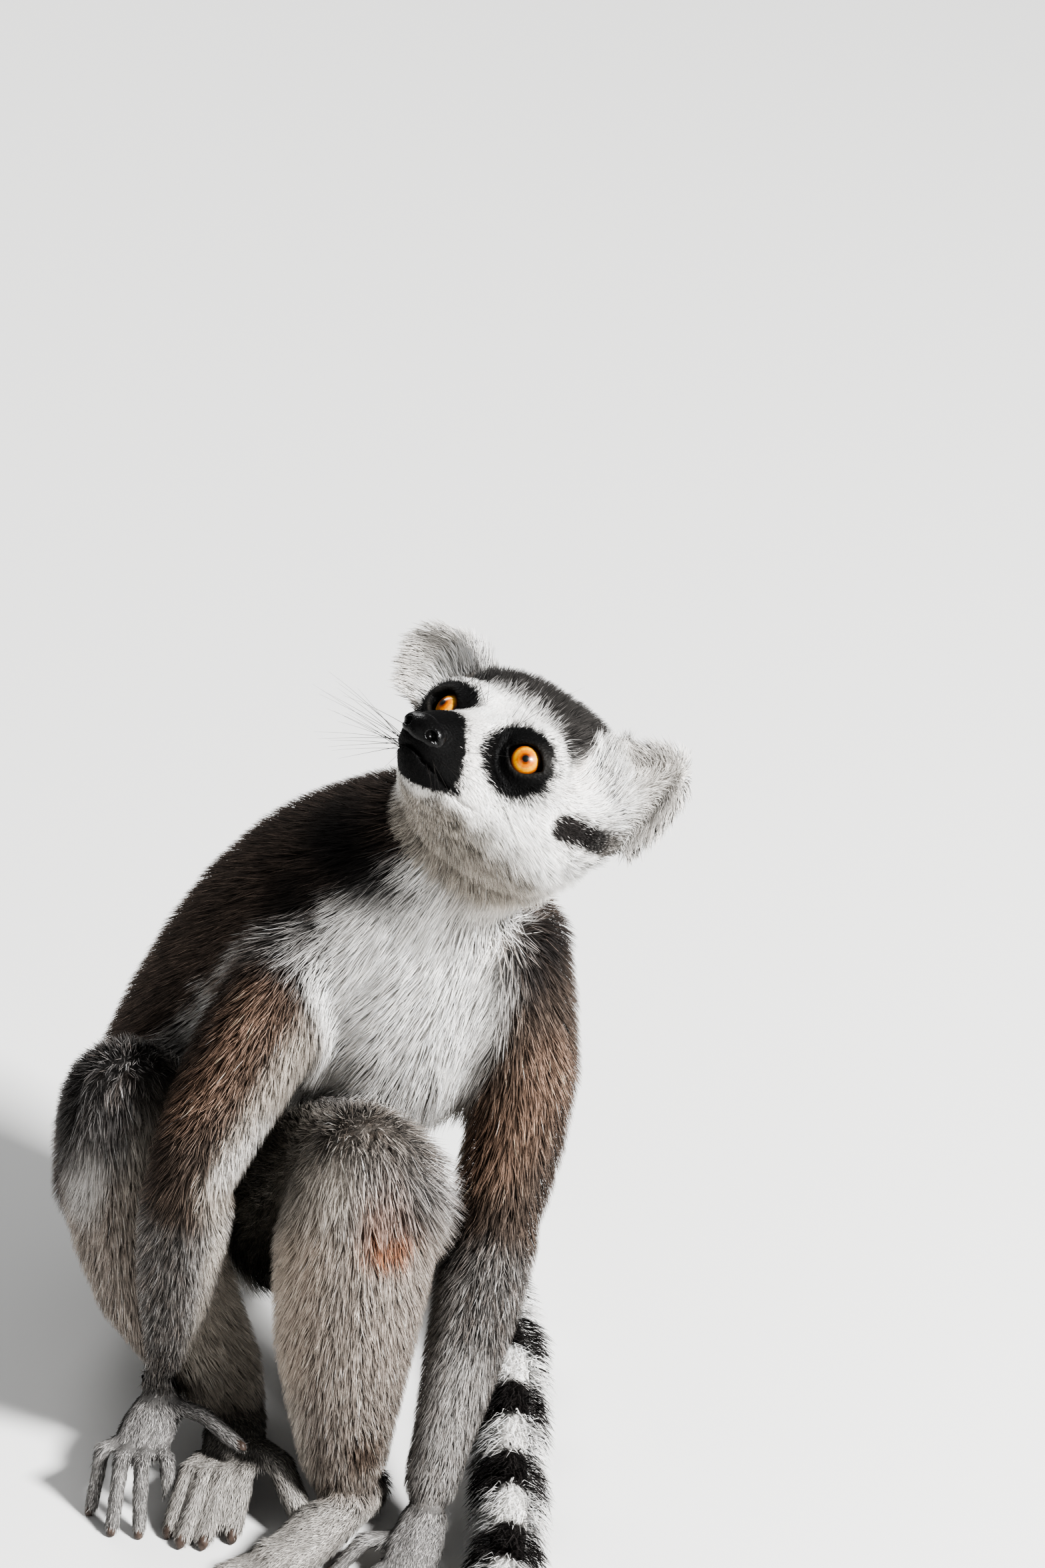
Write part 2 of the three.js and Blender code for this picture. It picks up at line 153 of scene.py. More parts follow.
def from_head(points):
    """Points of the head's frame, in the part's."""
    return np.asarray(points, float) @ HEAD_TURN.T + HEAD


def length_of(vectors):
    """The length of each row."""
    return np.linalg.norm(vectors, axis=1)


def unit(vectors):
    """Vectors made one long."""
    vectors = np.asarray(vectors, float)
    return vectors / np.maximum(np.linalg.norm(vectors, axis=-1, keepdims=True), 1e-9)


def rise_to(low, high, value):
    """0 below low and 1 above high, smooth between; the ends may be the other way round."""
    t = np.clip((value - low) / (high - low), 0, 1)
    return t * t * (3 - 2 * t)


def digit_line(knuckle, heading, length, radius, rise, tip=None):
    """The three joints of a finger or toe, as in the part's source."""
    ahead = np.array([-math.sin(heading), -math.cos(heading), 0])
    end = knuckle + ahead * length * 0.9
    end[2] = radius * 0.75 if tip is None else tip
    return [knuckle, knuckle + ahead * length * 0.42 + [0, 0, rise], end]


def digits(paw):
    """Each digit's joints and radius, the thumb or big toe last."""
    start, end = paw.palm
    ahead = unit((end - start) * [1, 1, 0])
    across = np.array([-ahead[1], ahead[0], 0])
    heading = math.atan2(-ahead[0], -ahead[1])
    lines = []
    for k, (turn, length) in enumerate(zip(paw.turns, paw.lengths)):
        knuckle = end + across * (k - 1.5) * paw.half_width / 2
        line = digit_line(knuckle, heading + math.radians(turn), length, paw.radius, paw.rise)
        lines.append((line, paw.radius))
    start, turn, length, radius, *rest = paw.thumb
    return lines + [(digit_line(start, math.radians(turn), length, radius, *rest), radius)]


# The line of each node's middle, from its root to its end, and the lines that its hair follows where these
# are others, so that it flows over the joints of a limb and along each digit.
LIMBS = [("upper_arm", ARM, 0, 3), ("forearm", ARM, 2, 4), ("thigh", LEG, 0, 2), ("shin", LEG, 1, 5)]
MIDDLES = {"head": SPINE[:2], "neck": SPINE[:3], "trunk": SPINE[1:]}
FLOWS = {}
for side, (part, limb, start, end) in itertools.product(SIDES, LIMBS):
    MIDDLES[f"{part}_{side}"] = limb[side][start:end]
    FLOWS[f"{part}_{side}"] = [limb[side]]
for name, paw in PAWS.items():
    MIDDLES[name] = paw.palm
    FLOWS[name] = [paw.palm] + [line for line, _ in digits(paw)]
TAIL_NODES = [f"tail_{k + 1}" for k in range(7)]
MIDDLES.update({name: TAIL for name in TAIL_NODES})

# Nodes of flesh that are one run of the body. Limbs that only touch are never in one run, so they stay apart.
SPINE_NODES = ["head", "neck", "trunk"] + TAIL_NODES
RUNS = [SPINE_NODES]
WHOLES = [(8.0, SPINE_NODES)]  # nodes joined as one, and how wide a crease between them is filled
for side in SIDES:
    arm = ["trunk", f"upper_arm_{side}", f"forearm_{side}", f"hand_{side}"]
    leg = ["trunk", f"thigh_{side}", f"shin_{side}", f"foot_{side}"]
    RUNS += [arm, leg]
    WHOLES += [(3.5, arm[:3]), (3.5, leg[:3]), (0.4, arm[2:]), (0.4, leg[2:])]

# The coat of each kind of node: its depth over the skin at the root and the end, the length of its hair at
# both, how close the hairs stand, and how wide one is. The head's depth and length come from head_coat().
COAT = {
    "head": (None, None, 4.6, 0.20),
    "neck": ((5.5, 7.0), (10.5, 13.0), 2.1, 0.31),
    "trunk": ((7.5, 8.5), (14.5, 16.0), 1.35, 0.37),
    "upper_arm": ((6.5, 6.0), (12.0, 11.0), 1.8, 0.32),
    "forearm": ((5.5, 1.6), (10.0, 6.0), 2.3, 0.29),
    "hand": ((1.2, 0.7), (5.5, 3.8), 3.8, 0.27),
    "thigh": ((8.0, 7.0), (14.5, 12.5), 1.35, 0.37),
    "shin": ((6.5, 4.0), (12.0, 8.0), 2.0, 0.31),
    "foot": ((2.0, 1.0), (6.5, 4.5), 2.9, 0.29),
    "tail": ((10.0, 10.0), (20.0, 20.0), 0.95, 0.5),
}


def kind(node):
    """A node's name without its side or number."""
    return re.sub(r"_(left|right|\d)$", "", node)


def stretches(points, line):
    """Each stretch of a line: its vector, how far along it each point lies, and the step from there to it."""
    line = np.asarray(line, float)
    for a, b in zip(line, line[1:]):
        t = np.clip((points - a) @ (b - a) / ((b - a) @ (b - a)), 0, 1)
        yield b - a, t, points - a - t[:, None] * (b - a)


def nearest_on(points, line):
    """How far along a line each point lies, from 0 to 1, and the step from there to it."""
    passed, best = 0.0, np.full(len(points), np.inf)
    share, offset = np.zeros(len(points)), np.zeros_like(points)
    for way, t, step in stretches(points, line):
        gap, length = length_of(step), np.linalg.norm(way)
        share = np.where(gap < best, passed + t * length, share)
        offset = np.where((gap < best)[:, None], step, offset)
        best = np.minimum(best, gap)
        passed += length
    return share / passed, offset


def on_cap(points):
    """How much of a point of the head is its cap, where the hair stands up like velvet."""
    y, z = points[:, 1], points[:, 2]
    return rise_to(9, 24, z) * rise_to(-27, -18, y) * rise_to(18, 0, y)


def head_coat(points):
    """The depth of the head's coat and the length of its hair, from points in the head's frame."""
    y, z = points[:, 1], points[:, 2]
    cheek = rise_to(2, -12, z) * rise_to(-34, -16, y)
    depth = np.interp(y, [-52, -44, -30, -12, 10], [0.7, 1.0, 1.7, 3.4, 4.3]) + 1.8 * cheek
    length = np.interp(y, [-52, -44, -30, -12, 10], [2.4, 2.6, 3.8, 6.0, 8.0]) + 3.5 * cheek
    return depth * (1 - 0.4 * on_cap(points)), length * (1 - 0.28 * rise_to(8, 18, z))


# ---------------------------------------------------------------- fields on a grid
class Field:
    """Values on a grid of points that starts at `low` and is `step` apart."""

    def __init__(self, values, low, step):
        self.values, self.low, self.step = values, np.asarray(low, float), step

    @property
    def high(self):
        """The grid's last point."""
        return self.low + self.step * (np.array(self.values.shape) - 1)

    def at(self, points):
        """The values at points, linear between the grid's own."""
        where = (points - self.low) / self.step
        base = np.clip(np.floor(where).astype(int), 0, np.array(self.values.shape) - 2)
        share = np.clip(where - base, 0, 1)
        total = np.zeros(len(points))
        for corner in itertools.product((0, 1), repeat=3):
            weight = np.prod(np.where(corner, share, 1 - share), axis=1)
            total += weight * self.values[tuple((base + corner).T)]
        return total

    def blurred(self, width, most):
        """The field after a Gaussian blur of that width, which draws its surface in by `most` at the most."""
        sigma = width / self.step
        reach = int(math.ceil(2.5 * sigma))
        weights = np.exp(-0.5 * (np.arange(-reach, reach + 1) / sigma) ** 2)
        weights /= weights.sum()
        values = self.values
        for axis, count in enumerate(values.shape):
            padded = np.pad(values, [(reach, reach) if k == axis else (0, 0) for k in range(3)], mode="edge")
            steps = (w * np.take(padded, range(k, k + count), axis) for k, w in enumerate(weights))
            values = sum(steps).astype(np.float32)
        return Field(np.minimum(values, self.values + most), self.low, self.step)

    def surface(self):
        """Points and quads of the surface where the field is zero."""
        grid = openvdb.FloatGrid(float(self.values.max()))
        grid.copyFromArray(self.values)
        points, quads = grid.convertToQuads(isovalue=0)
        return points * self.step + self.low, quads


def grid_over(low, high, step):
    """The first index and the shape of a grid over a box."""
    first = np.floor(np.asarray(low) / step + 1e-4).astype(int)
    last = np.ceil(np.asarray(high) / step - 1e-4).astype(int)
    return first, last - first + 1


def distance(points, faces, low, high, step, outer=9.0, inner=14.0):
    """Signed distance to a closed mesh, negative within, on a grid over a box, cut off at two reaches."""
    corners = {3: "triangles", 4: "quads"}[faces.shape[1]]
    grid = openvdb.FloatGrid.createLevelSetFromPolygons(
        points.astype(np.float32),
        **{corners: faces.astype(np.uint32)},
        transform=openvdb.createLinearTransform(voxelSize=step),
        exBandWidth=outer / step,
        inBandWidth=inner / step,
    )
    first, shape = grid_over(low, high, step)
    values = np.empty(shape, np.float32)
    grid.copyToArray(values, ijk=tuple(int(v) for v in first))
    return Field(values, first * step, step)


def node_mesh(node):
    """Points, in millimetres, and triangles of one of the part's solids."""
    mesh = frame["nodes"][node].data
    points = np.empty(len(mesh.vertices) * 3, np.float32)
    mesh.vertices.foreach_get("co", points)
    mesh.calc_loop_triangles()
    triangles = np.empty(len(mesh.loop_triangles) * 3, np.int32)
    mesh.loop_triangles.foreach_get("vertices", triangles)
    return points.reshape(-1, 3) / MM, triangles.reshape(-1, 3)


NODES = {node: node_mesh(node) for run in RUNS for node in run}
NAMES = list(NODES)
BESIDE = np.eye(len(NAMES))  # 1 where the row's node and the column's are one, or follow each other in a run
for run in RUNS:
    for one, other in zip(run, run[1:]):
        pair = [NAMES.index(one), NAMES.index(other)]
        BESIDE[pair, pair[::-1]] = 1
NEAR = 11.0  # how far outside a node its distance is known
DEEP = 24.0  # how far inside the joined nodes it is
MARGIN = 20.0  # how far past its box the skin's field is worked out
COARSE = 4  # the coat's depth is worked out on every so many points of a grid


def node_distances(low, high, step):
    """Signed distance to each node of flesh near the box, on a grid over the part of the box round it."""
    fields = {}
    for node, (points, faces) in NODES.items():
        start, end = np.maximum(points.min(0) - NEAR, low), np.minimum(points.max(0) + NEAR, high)
        if (end > start + step).all():
            fields[node] = distance(points, faces, start, end, step, outer=NEAR)
    return fields


def window(field, first):
    """Where a node's grid lies in a larger grid of the same step that starts at index `first`."""
    start = np.rint(field.low / field.step).astype(int) - first
    return tuple(slice(s, s + n) for s, n in zip(start, field.values.shape))


def coat_depth(node, field):
    """The depth of the coat over a node's grid, worked out on few of its points and spread between them."""
    counts = [max(2, n // COARSE) for n in field.values.shape]
    spans = [np.linspace(0, n - 1, c) for n, c in zip(field.values.shape, counts)]
    places = np.stack(np.meshgrid(*spans, indexing="ij"), axis=-1).reshape(-1, 3) * field.step + field.low
    if node == "head":
        values = head_coat(to_head(places))[0]
    else:
        root, end = COAT[kind(node)][0]
        values = root + (end - root) * nearest_on(places, MIDDLES[node])[0]
    values = values.reshape(counts)
    for axis, (count, whole) in enumerate(zip(counts, field.values.shape)):
        where = np.linspace(0, count - 1, whole)
        base = np.minimum(where.astype(int), count - 2)
        t = (where - base).reshape([-1 if k == axis else 1 for k in range(3)])
        values = np.take(values, base, axis) * (1 - t) + np.take(values, base + 1, axis) * t
    return values.astype(np.float32)


def depth_over(fields, first, shape):
    """The depth of the coat over a whole grid: each node's, faded into the ones beside it."""
    nearest = np.full(shape, NEAR, np.float32)
    owner = np.zeros(shape, np.int8)
    for node, field in fields.items():
        place = window(field, first)
        closer = field.values < nearest[place]
        nearest[place][closer] = field.values[closer]
        owner[place][closer] = NAMES.index(node)
    depth, weight = np.zeros(shape, np.float32), np.full(shape, 1e-6, np.float32)
    for node, field in fields.items():
        place = window(field, first)
        share = np.clip(1 - (field.values - nearest[place]) / NEAR, 0, 1) ** 2
        share *= BESIDE[NAMES.index(node)][owner[place]]
        depth[place] += share * coat_depth(node, field)
        weight[place] += share
    return depth / weight


def flesh(low, high, step):
    """The skin's field over a box, where the solids of each run are joined and drawn in by the depth of the
    coat, and the distance to each node."""
    low, high = np.asarray(low) - MARGIN, np.asarray(high) + MARGIN
    first, shape = grid_over(low, high, step)
    fields = node_distances(low, high, step)
    skin = np.full(shape, NEAR, np.float32)
    for crease, run in WHOLES:
        members = [node for node in run if node in fields]
        if not members or (run is not SPINE_NODES and members == ["trunk"]):
            continue
        whole = np.full(shape, NEAR, np.float32)
        for node in members:
            part = whole[window(fields[node], first)]
            np.minimum(part, fields[node].values, out=part)
        for edge in range(3):
            np.moveaxis(whole, edge, 0)[[0, -1]] = NEAR
        grown = Field(whole - crease, first * step, step)
        shrunk = distance(*grown.surface(), grown.low, grown.high, step, inner=DEEP)
        np.minimum(skin, shrunk.values + crease, out=skin)
    return Field(skin + depth_over(fields, first, shape), first * step, step), fields


# ---------------------------------------------------------------- the head's detail, in its own frame
EYE_OUT, EYE_FRONT, EYE_UP, EYE_RADIUS = 15.0, 24.6, 9.0, 8.3
LID = 1.5  # thickness of the lids
OPENING = (6.6, 4.7)  # half width and half height of the gap between them
MOUTH = [(-62, -9.5), (-58, -11.3), (-52, -12), (-45, -13), (-38, -13.6), (-35, -12.6)]  # its y and z
MOUTH_DEEP = 1.5
EARS = {  # base and tip
    "left": (np.array([31, -2, 6.5]), np.array([50.5, -7, 38.5])),
    "right": (np.array([-29, -3, 14.0]), np.array([-53.5, -7.5, 27.3])),
}
# The half width of an ear by the share of its length.
EAR_WIDTH = [(-0.3, 10), (0, 12.6), (0.3, 13.4), (0.6, 11.8), (0.85, 7.4), (1, 2.6)]
EAR_THICK = 1.7
EAR_CURL = math.radians(33)
EAR_GRID = (28, 19)  # points along and across
SCULPTED = 9.5  # how far from the skin the detail is worked out


def ear_axes(side):
    """An ear's base, its length, and its directions along, across and out of its hollow front."""
    base, tip = EARS[side]
    along = unit(tip - base)
    across = unit(np.cross([SIDES[side] * 0.35, -0.94, 0], along))
    return base, np.linalg.norm(tip - base), along, across, np.cross(along, across)


def joined(a, b, round_off):
    """The union of two fields, its crease rounded."""
    h = np.clip(0.5 + 0.5 * (b - a) / round_off, 0, 1)
    return b * (1 - h) + a * h - round_off * h * (1 - h)


def cut(a, b, round_off):
    """Field a less field b."""
    return -joined(-a, b, round_off)


def ball(points, centre, *radii):
    """The field of an ellipsoid, near enough to a distance close to its surface."""
    return (length_of((points - centre) / radii) - 1) * min(radii)


def tube(points, line, radius):
    """The field of a round tube along a line."""
    return length_of(nearest_on(points, line)[1]) - radius


def lid_gap(offset, inward, up):
    """Under 1 inside the almond opening of the lids, from an offset to the eye's middle."""
    return np.abs(offset @ up) / OPENING[1] + (offset @ inward / OPENING[0]) ** 2


def eye_frame(sign):
    """An eye's centre and its directions to the nose, upward and forward, in the head's frame."""
    ahead = unit([sign * 0.375, -0.925, 0.06])
    inward = unit(np.cross([0, 0, -sign], ahead))
    return np.array([sign * EYE_OUT, -EYE_FRONT, EYE_UP]), inward, np.cross(ahead, inward) * -sign, ahead


def lids(values, points, sign):
    """The face round one eye: the socket filled, the lids drawn over the ball, and the gap between them."""
    centre, inward, up, ahead = eye_frame(sign)
    offset = points - centre
    values = joined(values, ball(points, centre + ahead * 1.2, 12.5, 8.5, 12), 4)
    values = joined(values, length_of(offset) - EYE_RADIUS - LID, 2)
    gap = np.maximum((lid_gap(offset, inward, up) - 1) * 3.5, -(offset @ ahead))
    return cut(cut(values, gap, 0.8), length_of(offset) - EYE_RADIUS - 0.1, 0.3)


def nose_pad(points):
    """The bare pad of the nose: a heart of two lobes with comma nostrils and a groove below."""
    pad = ball(points, [0, -61.4, -3.2], 6.2, 3.6, 4.6)
    for sign in (1, -1):
        pad = joined(pad, ball(points, [sign * 4.6, -60.2, -3.6], 3.6, 3.4, 3.6), 1.5)
    for sign in (1, -1):
        pad = cut(pad, ball(points, [sign * 5.0, -63.6, -3.9], 1.7, 2.4, 1.5), 0.6)
        pad = cut(pad, tube(points, [(sign * 5, -63.9, -4), (sign * 8.4, -61, -5)], 0.7), 0.5)
    return cut(pad, tube(points, [(0, -65.8, -1), (0, -65, -9)], 0.45), 0.4)


def ear_sheet(side):
    """Points and quads of one ear: a leaf curled across its width, closed round its rim."""
    base, length, along, across, front = ear_axes(side)
    share = np.linspace(-0.3, 1, EAR_GRID[0])[:, None, None]
    turn = np.linspace(-EAR_CURL, EAR_CURL, EAR_GRID[1])[None, :, None]
    radius = np.interp(share, *np.array(EAR_WIDTH).T) / math.sin(EAR_CURL)
    depth = 3.2 - radius * (np.cos(turn) - math.cos(EAR_CURL))
    sheet = base + along * share * length + across * radius * np.sin(turn) + front * depth
    normal = unit(np.cross(np.gradient(sheet, axis=0), np.gradient(sheet, axis=1)))
    points = np.concatenate([sheet + normal * EAR_THICK / 2, sheet - normal * EAR_THICK / 2]).reshape(-1, 3)
    other = math.prod(EAR_GRID)
    index = np.arange(other).reshape(EAR_GRID)
    quads = np.stack([index[:-1, :-1], index[1:, :-1], index[1:, 1:], index[:-1, 1:]], axis=-1).reshape(-1, 4)
    rim = np.concatenate([index[0, :-1], index[:-1, -1], index[-1, :0:-1], index[:0:-1, 0]])
    ahead = np.roll(rim, -1)
    rim_quads = np.stack([rim, ahead, ahead + other, rim + other], axis=-1)
    return points, np.concatenate([quads, quads[:, ::-1] + other, rim_quads])


def sculpted(field):
    """The head's field with its ears, lids, nose and mouth."""
    for side in SIDES:
        points, quads = ear_sheet(side)
        ear = distance(from_head(points), quads, field.low, field.high, field.step, outer=6, inner=3)
        field = Field(joined(field.values, ear.values, 3.5), field.low, field.step)
    near = np.abs(field.values) < SCULPTED
    points = to_head(np.argwhere(near) * field.step + field.low)
    values = field.values[near]
    for sign in SIDES.values():
        values = lids(values, points, sign)
        values = cut(values, ball(points, [sign * 5.2, -63.6, -3.9], 2.1, 3.2, 1.9), 0.5)
    line = np.interp(points[:, 1], *np.array(MOUTH).T)
    groove = np.maximum(np.abs(points[:, 2] - line) - 0.4, -values - MOUTH_DEEP)
    values = cut(values, np.maximum(groove, points[:, 1] - MOUTH[-1][0]), 0.9)
    field.values[near] = cut(values, tube(points, [(0, -66, -7), (0, -61, -10)], 0.3), 1)
    return field


# ---------------------------------------------------------------- the skin
BODY_BOX = (np.array(cad_box[0]) / MM, np.array(cad_box[1]) / MM)
HEAD_BOX = (HEAD - [50, 52, 42], HEAD + [62, 50, 52])
PAW_BOX = (np.array([-96, -104, -2.0]), np.array([38, 22, 33.0]))
BODY_STEP = 1.5
BODY_BLUR = (2.2, 0.6)  # its width, and how far it may draw the skin in
CLEFT = 1.1  # radius of the groove between one digit and the next


def inside(points, box):
    """Which points are in a box."""
    return ((points > box[0]) & (points < box[1])).all(axis=1)


def within(points, quads, keep):
    """The quads chosen by `keep`, with only the points that they use."""
    used, quads = np.unique(quads[keep], return_inverse=True)
    return points[used], quads.reshape(-1, 4)


def toes_parted(field):
    """The paws' field with a groove between each digit and the next."""
    for paw in PAWS.values():
        lines = [np.array(line) for line, _ in digits(paw)[:4]]
        for one, other in zip(lines, lines[1:]):
            groove = (one + other) / 2 + [0, 0, paw.radius - 1.2]
            groove[0] = groove[0] * 0.6 + groove[1] * 0.4
            low, high = groove.min(axis=0) - 4, groove.max(axis=0) + 4
            first = np.maximum(((low - field.low) / field.step).astype(int), 0)
            last = np.minimum(((high - field.low) / field.step).astype(int), field.values.shape)
            block = tuple(slice(a, b) for a, b in zip(first, last))
            values = field.values[block]
            points = (np.argwhere(np.ones(values.shape, bool)) + first) * field.step + field.low
            field.values[block] = cut(values.ravel(), tube(points, groove, CLEFT), 1.2).reshape(values.shape)
    return field


# Where the grid is finer: the box, the step, the blur and what adds the detail.
FINE = [(HEAD_BOX, 0.7, (1.2, 0.4), sculpted), (PAW_BOX, 0.8, (0.9, 0.4), toes_parted)]


def together(forms):
    """Several forms' points and faces as one."""
    offsets = np.cumsum([0] + [len(points) for points, _ in forms])
    faces = [faces + offset for (_, faces), offset in zip(forms, offsets)]
    return np.concatenate([points for points, _ in forms]), np.concatenate(faces)


def skin_mesh():
    """The whole skin, a plain grid for the body and finer ones in the boxes of the head and of the paws, and
    the body's distance to each node."""
    field, distances = flesh(*BODY_BOX, BODY_STEP)
    points, quads = field.blurred(*BODY_BLUR).surface()
    middle = points[quads].mean(axis=1)
    parts = [within(points, quads, ~(inside(middle, HEAD_BOX) | inside(middle, PAW_BOX)))]
    for box, step, blur, detail in FINE:
        points, quads = detail(flesh(*box, step)[0].blurred(*blur)).surface()
        middle = points[quads].mean(axis=1)
        parts.append(within(points, quads, inside(middle, (box[0] - step, box[1] + step))))
    return *together(parts), distances


def mesh_object(name, points, faces):
    """A mesh object from points in millimetres and faces of three or four corners each."""
    mesh = bpy.data.meshes.new(name)
    mesh.vertices.add(len(points))
    mesh.vertices.foreach_set("co", (np.asarray(points) * MM).astype(np.float32).ravel())
    mesh.loops.add(faces.size)
    mesh.loops.foreach_set("vertex_index", faces.astype(np.int32).ravel())
    mesh.polygons.add(len(faces))
    mesh.polygons.foreach_set("loop_start", np.arange(0, faces.size, faces.shape[1], dtype=np.int32))
    mesh.polygons.foreach_set("use_smooth", np.ones(len(faces), bool))
    mesh.update(calc_edges=True)
    obj = bpy.data.objects.new(name, mesh)
    bpy.context.scene.collection.objects.link(obj)
    return obj


def face_vectors(points, quads):
    """A vector out of each quad, as long as twice its area."""
    corners = points[quads]
    return np.cross(corners[:, 2] - corners[:, 0], corners[:, 3] - corners[:, 1])


def gathered(index, vectors, count):
    """The sum of the vectors that share each index, for at least that many of these."""
    return np.stack([np.bincount(index, vectors[:, k], count) for k in range(3)], axis=1)


def normals_of(points, quads):
    """Unit normals at the points of a mesh."""
    return unit(gathered(quads.ravel(), np.repeat(face_vectors(points, quads), 4, axis=0), len(points)))


def smoothed(vectors, quads, rounds):
    """Vectors at the points of a mesh, averaged with their neighbours' again and again."""
    start, end, count = quads.ravel(), np.roll(quads, -1, axis=1).ravel(), len(vectors)
    for _ in range(rounds):
        beside = gathered(start, vectors[end], count) + gathered(end, vectors[start], count)
        vectors = unit(vectors + beside)
    return vectors


skin_points, skin_quads, node_fields = skin_mesh()


# ---------------------------------------------------------------- which part of the body a point belongs to
BLEND = 8.0  # how far one node's coat fades into the next


def node_shares(points):
    """How much of each node a point of the skin belongs to: one row for each node."""
    gaps = np.full((len(NAMES), len(points)), NEAR)
    for row, node in zip(gaps, NAMES):
        field = node_fields[node]
        near = inside(points, (field.low, field.high))
        row[near] = field.at(points[near])
    shares = np.clip(1 - (gaps - gaps.min(axis=0)) / BLEND, 0, 1) ** 2 * BESIDE[:, gaps.argmin(axis=0)]
    return shares / shares.sum(axis=0)


def share_of(shares, *kinds):
    """The total share of some nodes or kinds of node."""
    return sum(row for row, node in zip(shares, NAMES) if node in kinds or kind(node) in kinds)


# ---------------------------------------------------------------- the lie of the coat
NOSE_TIP = np.array([0, -64, -4.0])
WAY_ROUNDS = 30  # of smoothing, so that the lie turns slowly


def way_along(points, lines):
    """The direction of the lines near each point, where the nearest stretches count most."""
    total = np.zeros_like(points)
    for line in lines:
        for way, _, step in stretches(points, line):
            total += unit(way) / (length_of(step)[:, None] + 2) ** 5
    return unit(total)


def on_ear(points, side):
    """How much of a point of the head is that ear, how far along it lies, and how far across."""
    base, length, along, across, _ = ear_axes(side)
    offset = points - base
    share = offset @ along / length
    gap = length_of(offset - np.clip(share, 0, 1)[:, None] * along * length)
    return rise_to(0.0, 0.22, share) * rise_to(21, 14, gap), share, offset @ across


def head_way(points):
    """The lie on the head: away from the nose, out round each eye, and up and outward on each ear."""
    way = unit(points - NOSE_TIP)
    for sign in SIDES.values():
        offset = points - eye_frame(sign)[0]
        reach = np.maximum(length_of(offset) - EYE_RADIUS, 0)
        way = way + 1.8 * np.exp(-((reach / 7) ** 2))[:, None] * unit(offset)
    for side in SIDES:
        mask, _, sideways = on_ear(points, side)
        _, _, along, across, _ = ear_axes(side)
        way = way * (1 - mask[:, None]) + 2 * mask[:, None] * (along + sideways[:, None] / 12 * across)
    return unit(way)


def flat_on(normals, vectors):
    """Unit vectors turned to lie flat on a surface."""
    return unit(vectors - (vectors * normals).sum(axis=1)[:, None] * normals)


def coat_way(points, shares, normals):
    """The lie of the coat over the skin."""
    way = shares[0][:, None] * (head_way(to_head(points)) @ HEAD_TURN.T)
    for node, share in zip(NAMES[1:], shares[1:]):
        used = share > 0
        way[used] += share[used, None] * way_along(points[used], FLOWS.get(node, [MIDDLES[node]]))
    return flat_on(normals, way)


def eye_gap(points):
    """How far a point of the head is from the middle of the nearer eye's opening, whose edge is at 1."""
    nearest = np.full(len(points), 99.0)
    for sign in SIDES.values():
        centre, inward, up, _ = eye_frame(sign)
        offset = points - centre
        far = np.maximum(length_of(offset) - EYE_RADIUS - LID - 3, 0)
        nearest = np.minimum(nearest, lid_gap(offset, inward, up) + far)
    return nearest


def mottle(points, size):
    """Soft blotches of about that size, from -1 to 1."""
    p = points / size
    p = p + 0.9 * np.sin(1.7 * p[:, [1, 2, 0]] + 0.6)
    return (np.sin(2.1 * p[:, 0]) + np.sin(2.4 * p[:, 1] + 1.3) + np.sin(1.9 * p[:, 2] + 2.1)) / 3


def sole(shares, normals):
    """How much of a point is the bare underside of a hand or foot."""
    return share_of(shares, "hand", "foot") * rise_to(-0.45, -0.8, normals[:, 2])


CANAL = [(30.5, -8.5, 0.5), (34, -2.5, 2.5), (42, -2, 4.5)]  # of the left ear; the right one's mirrors it


def ear_canal(points):
    """How much of a point of the head is the dark hollow at the foot of an ear."""
    gap = tube(np.column_stack([np.abs(points[:, 0]), points[:, 1:]]), CANAL, 4.8)
    return rise_to(1.2, -1.0, gap + 0.7 * mottle(points, 1.5))


def below_breast(points):
    """How much of a point of the trunk is the lower edge of the breast, whose fringe hangs over the knee."""
    x, y, z = points.T
    return rise_to(42, 28, np.abs(x - 18)) * rise_to(72, 55, y) * rise_to(112, 126, z)


KNEE_GAP = np.array([38, -8, 126])  # between the left knee and the left arm, where the coat of both meets


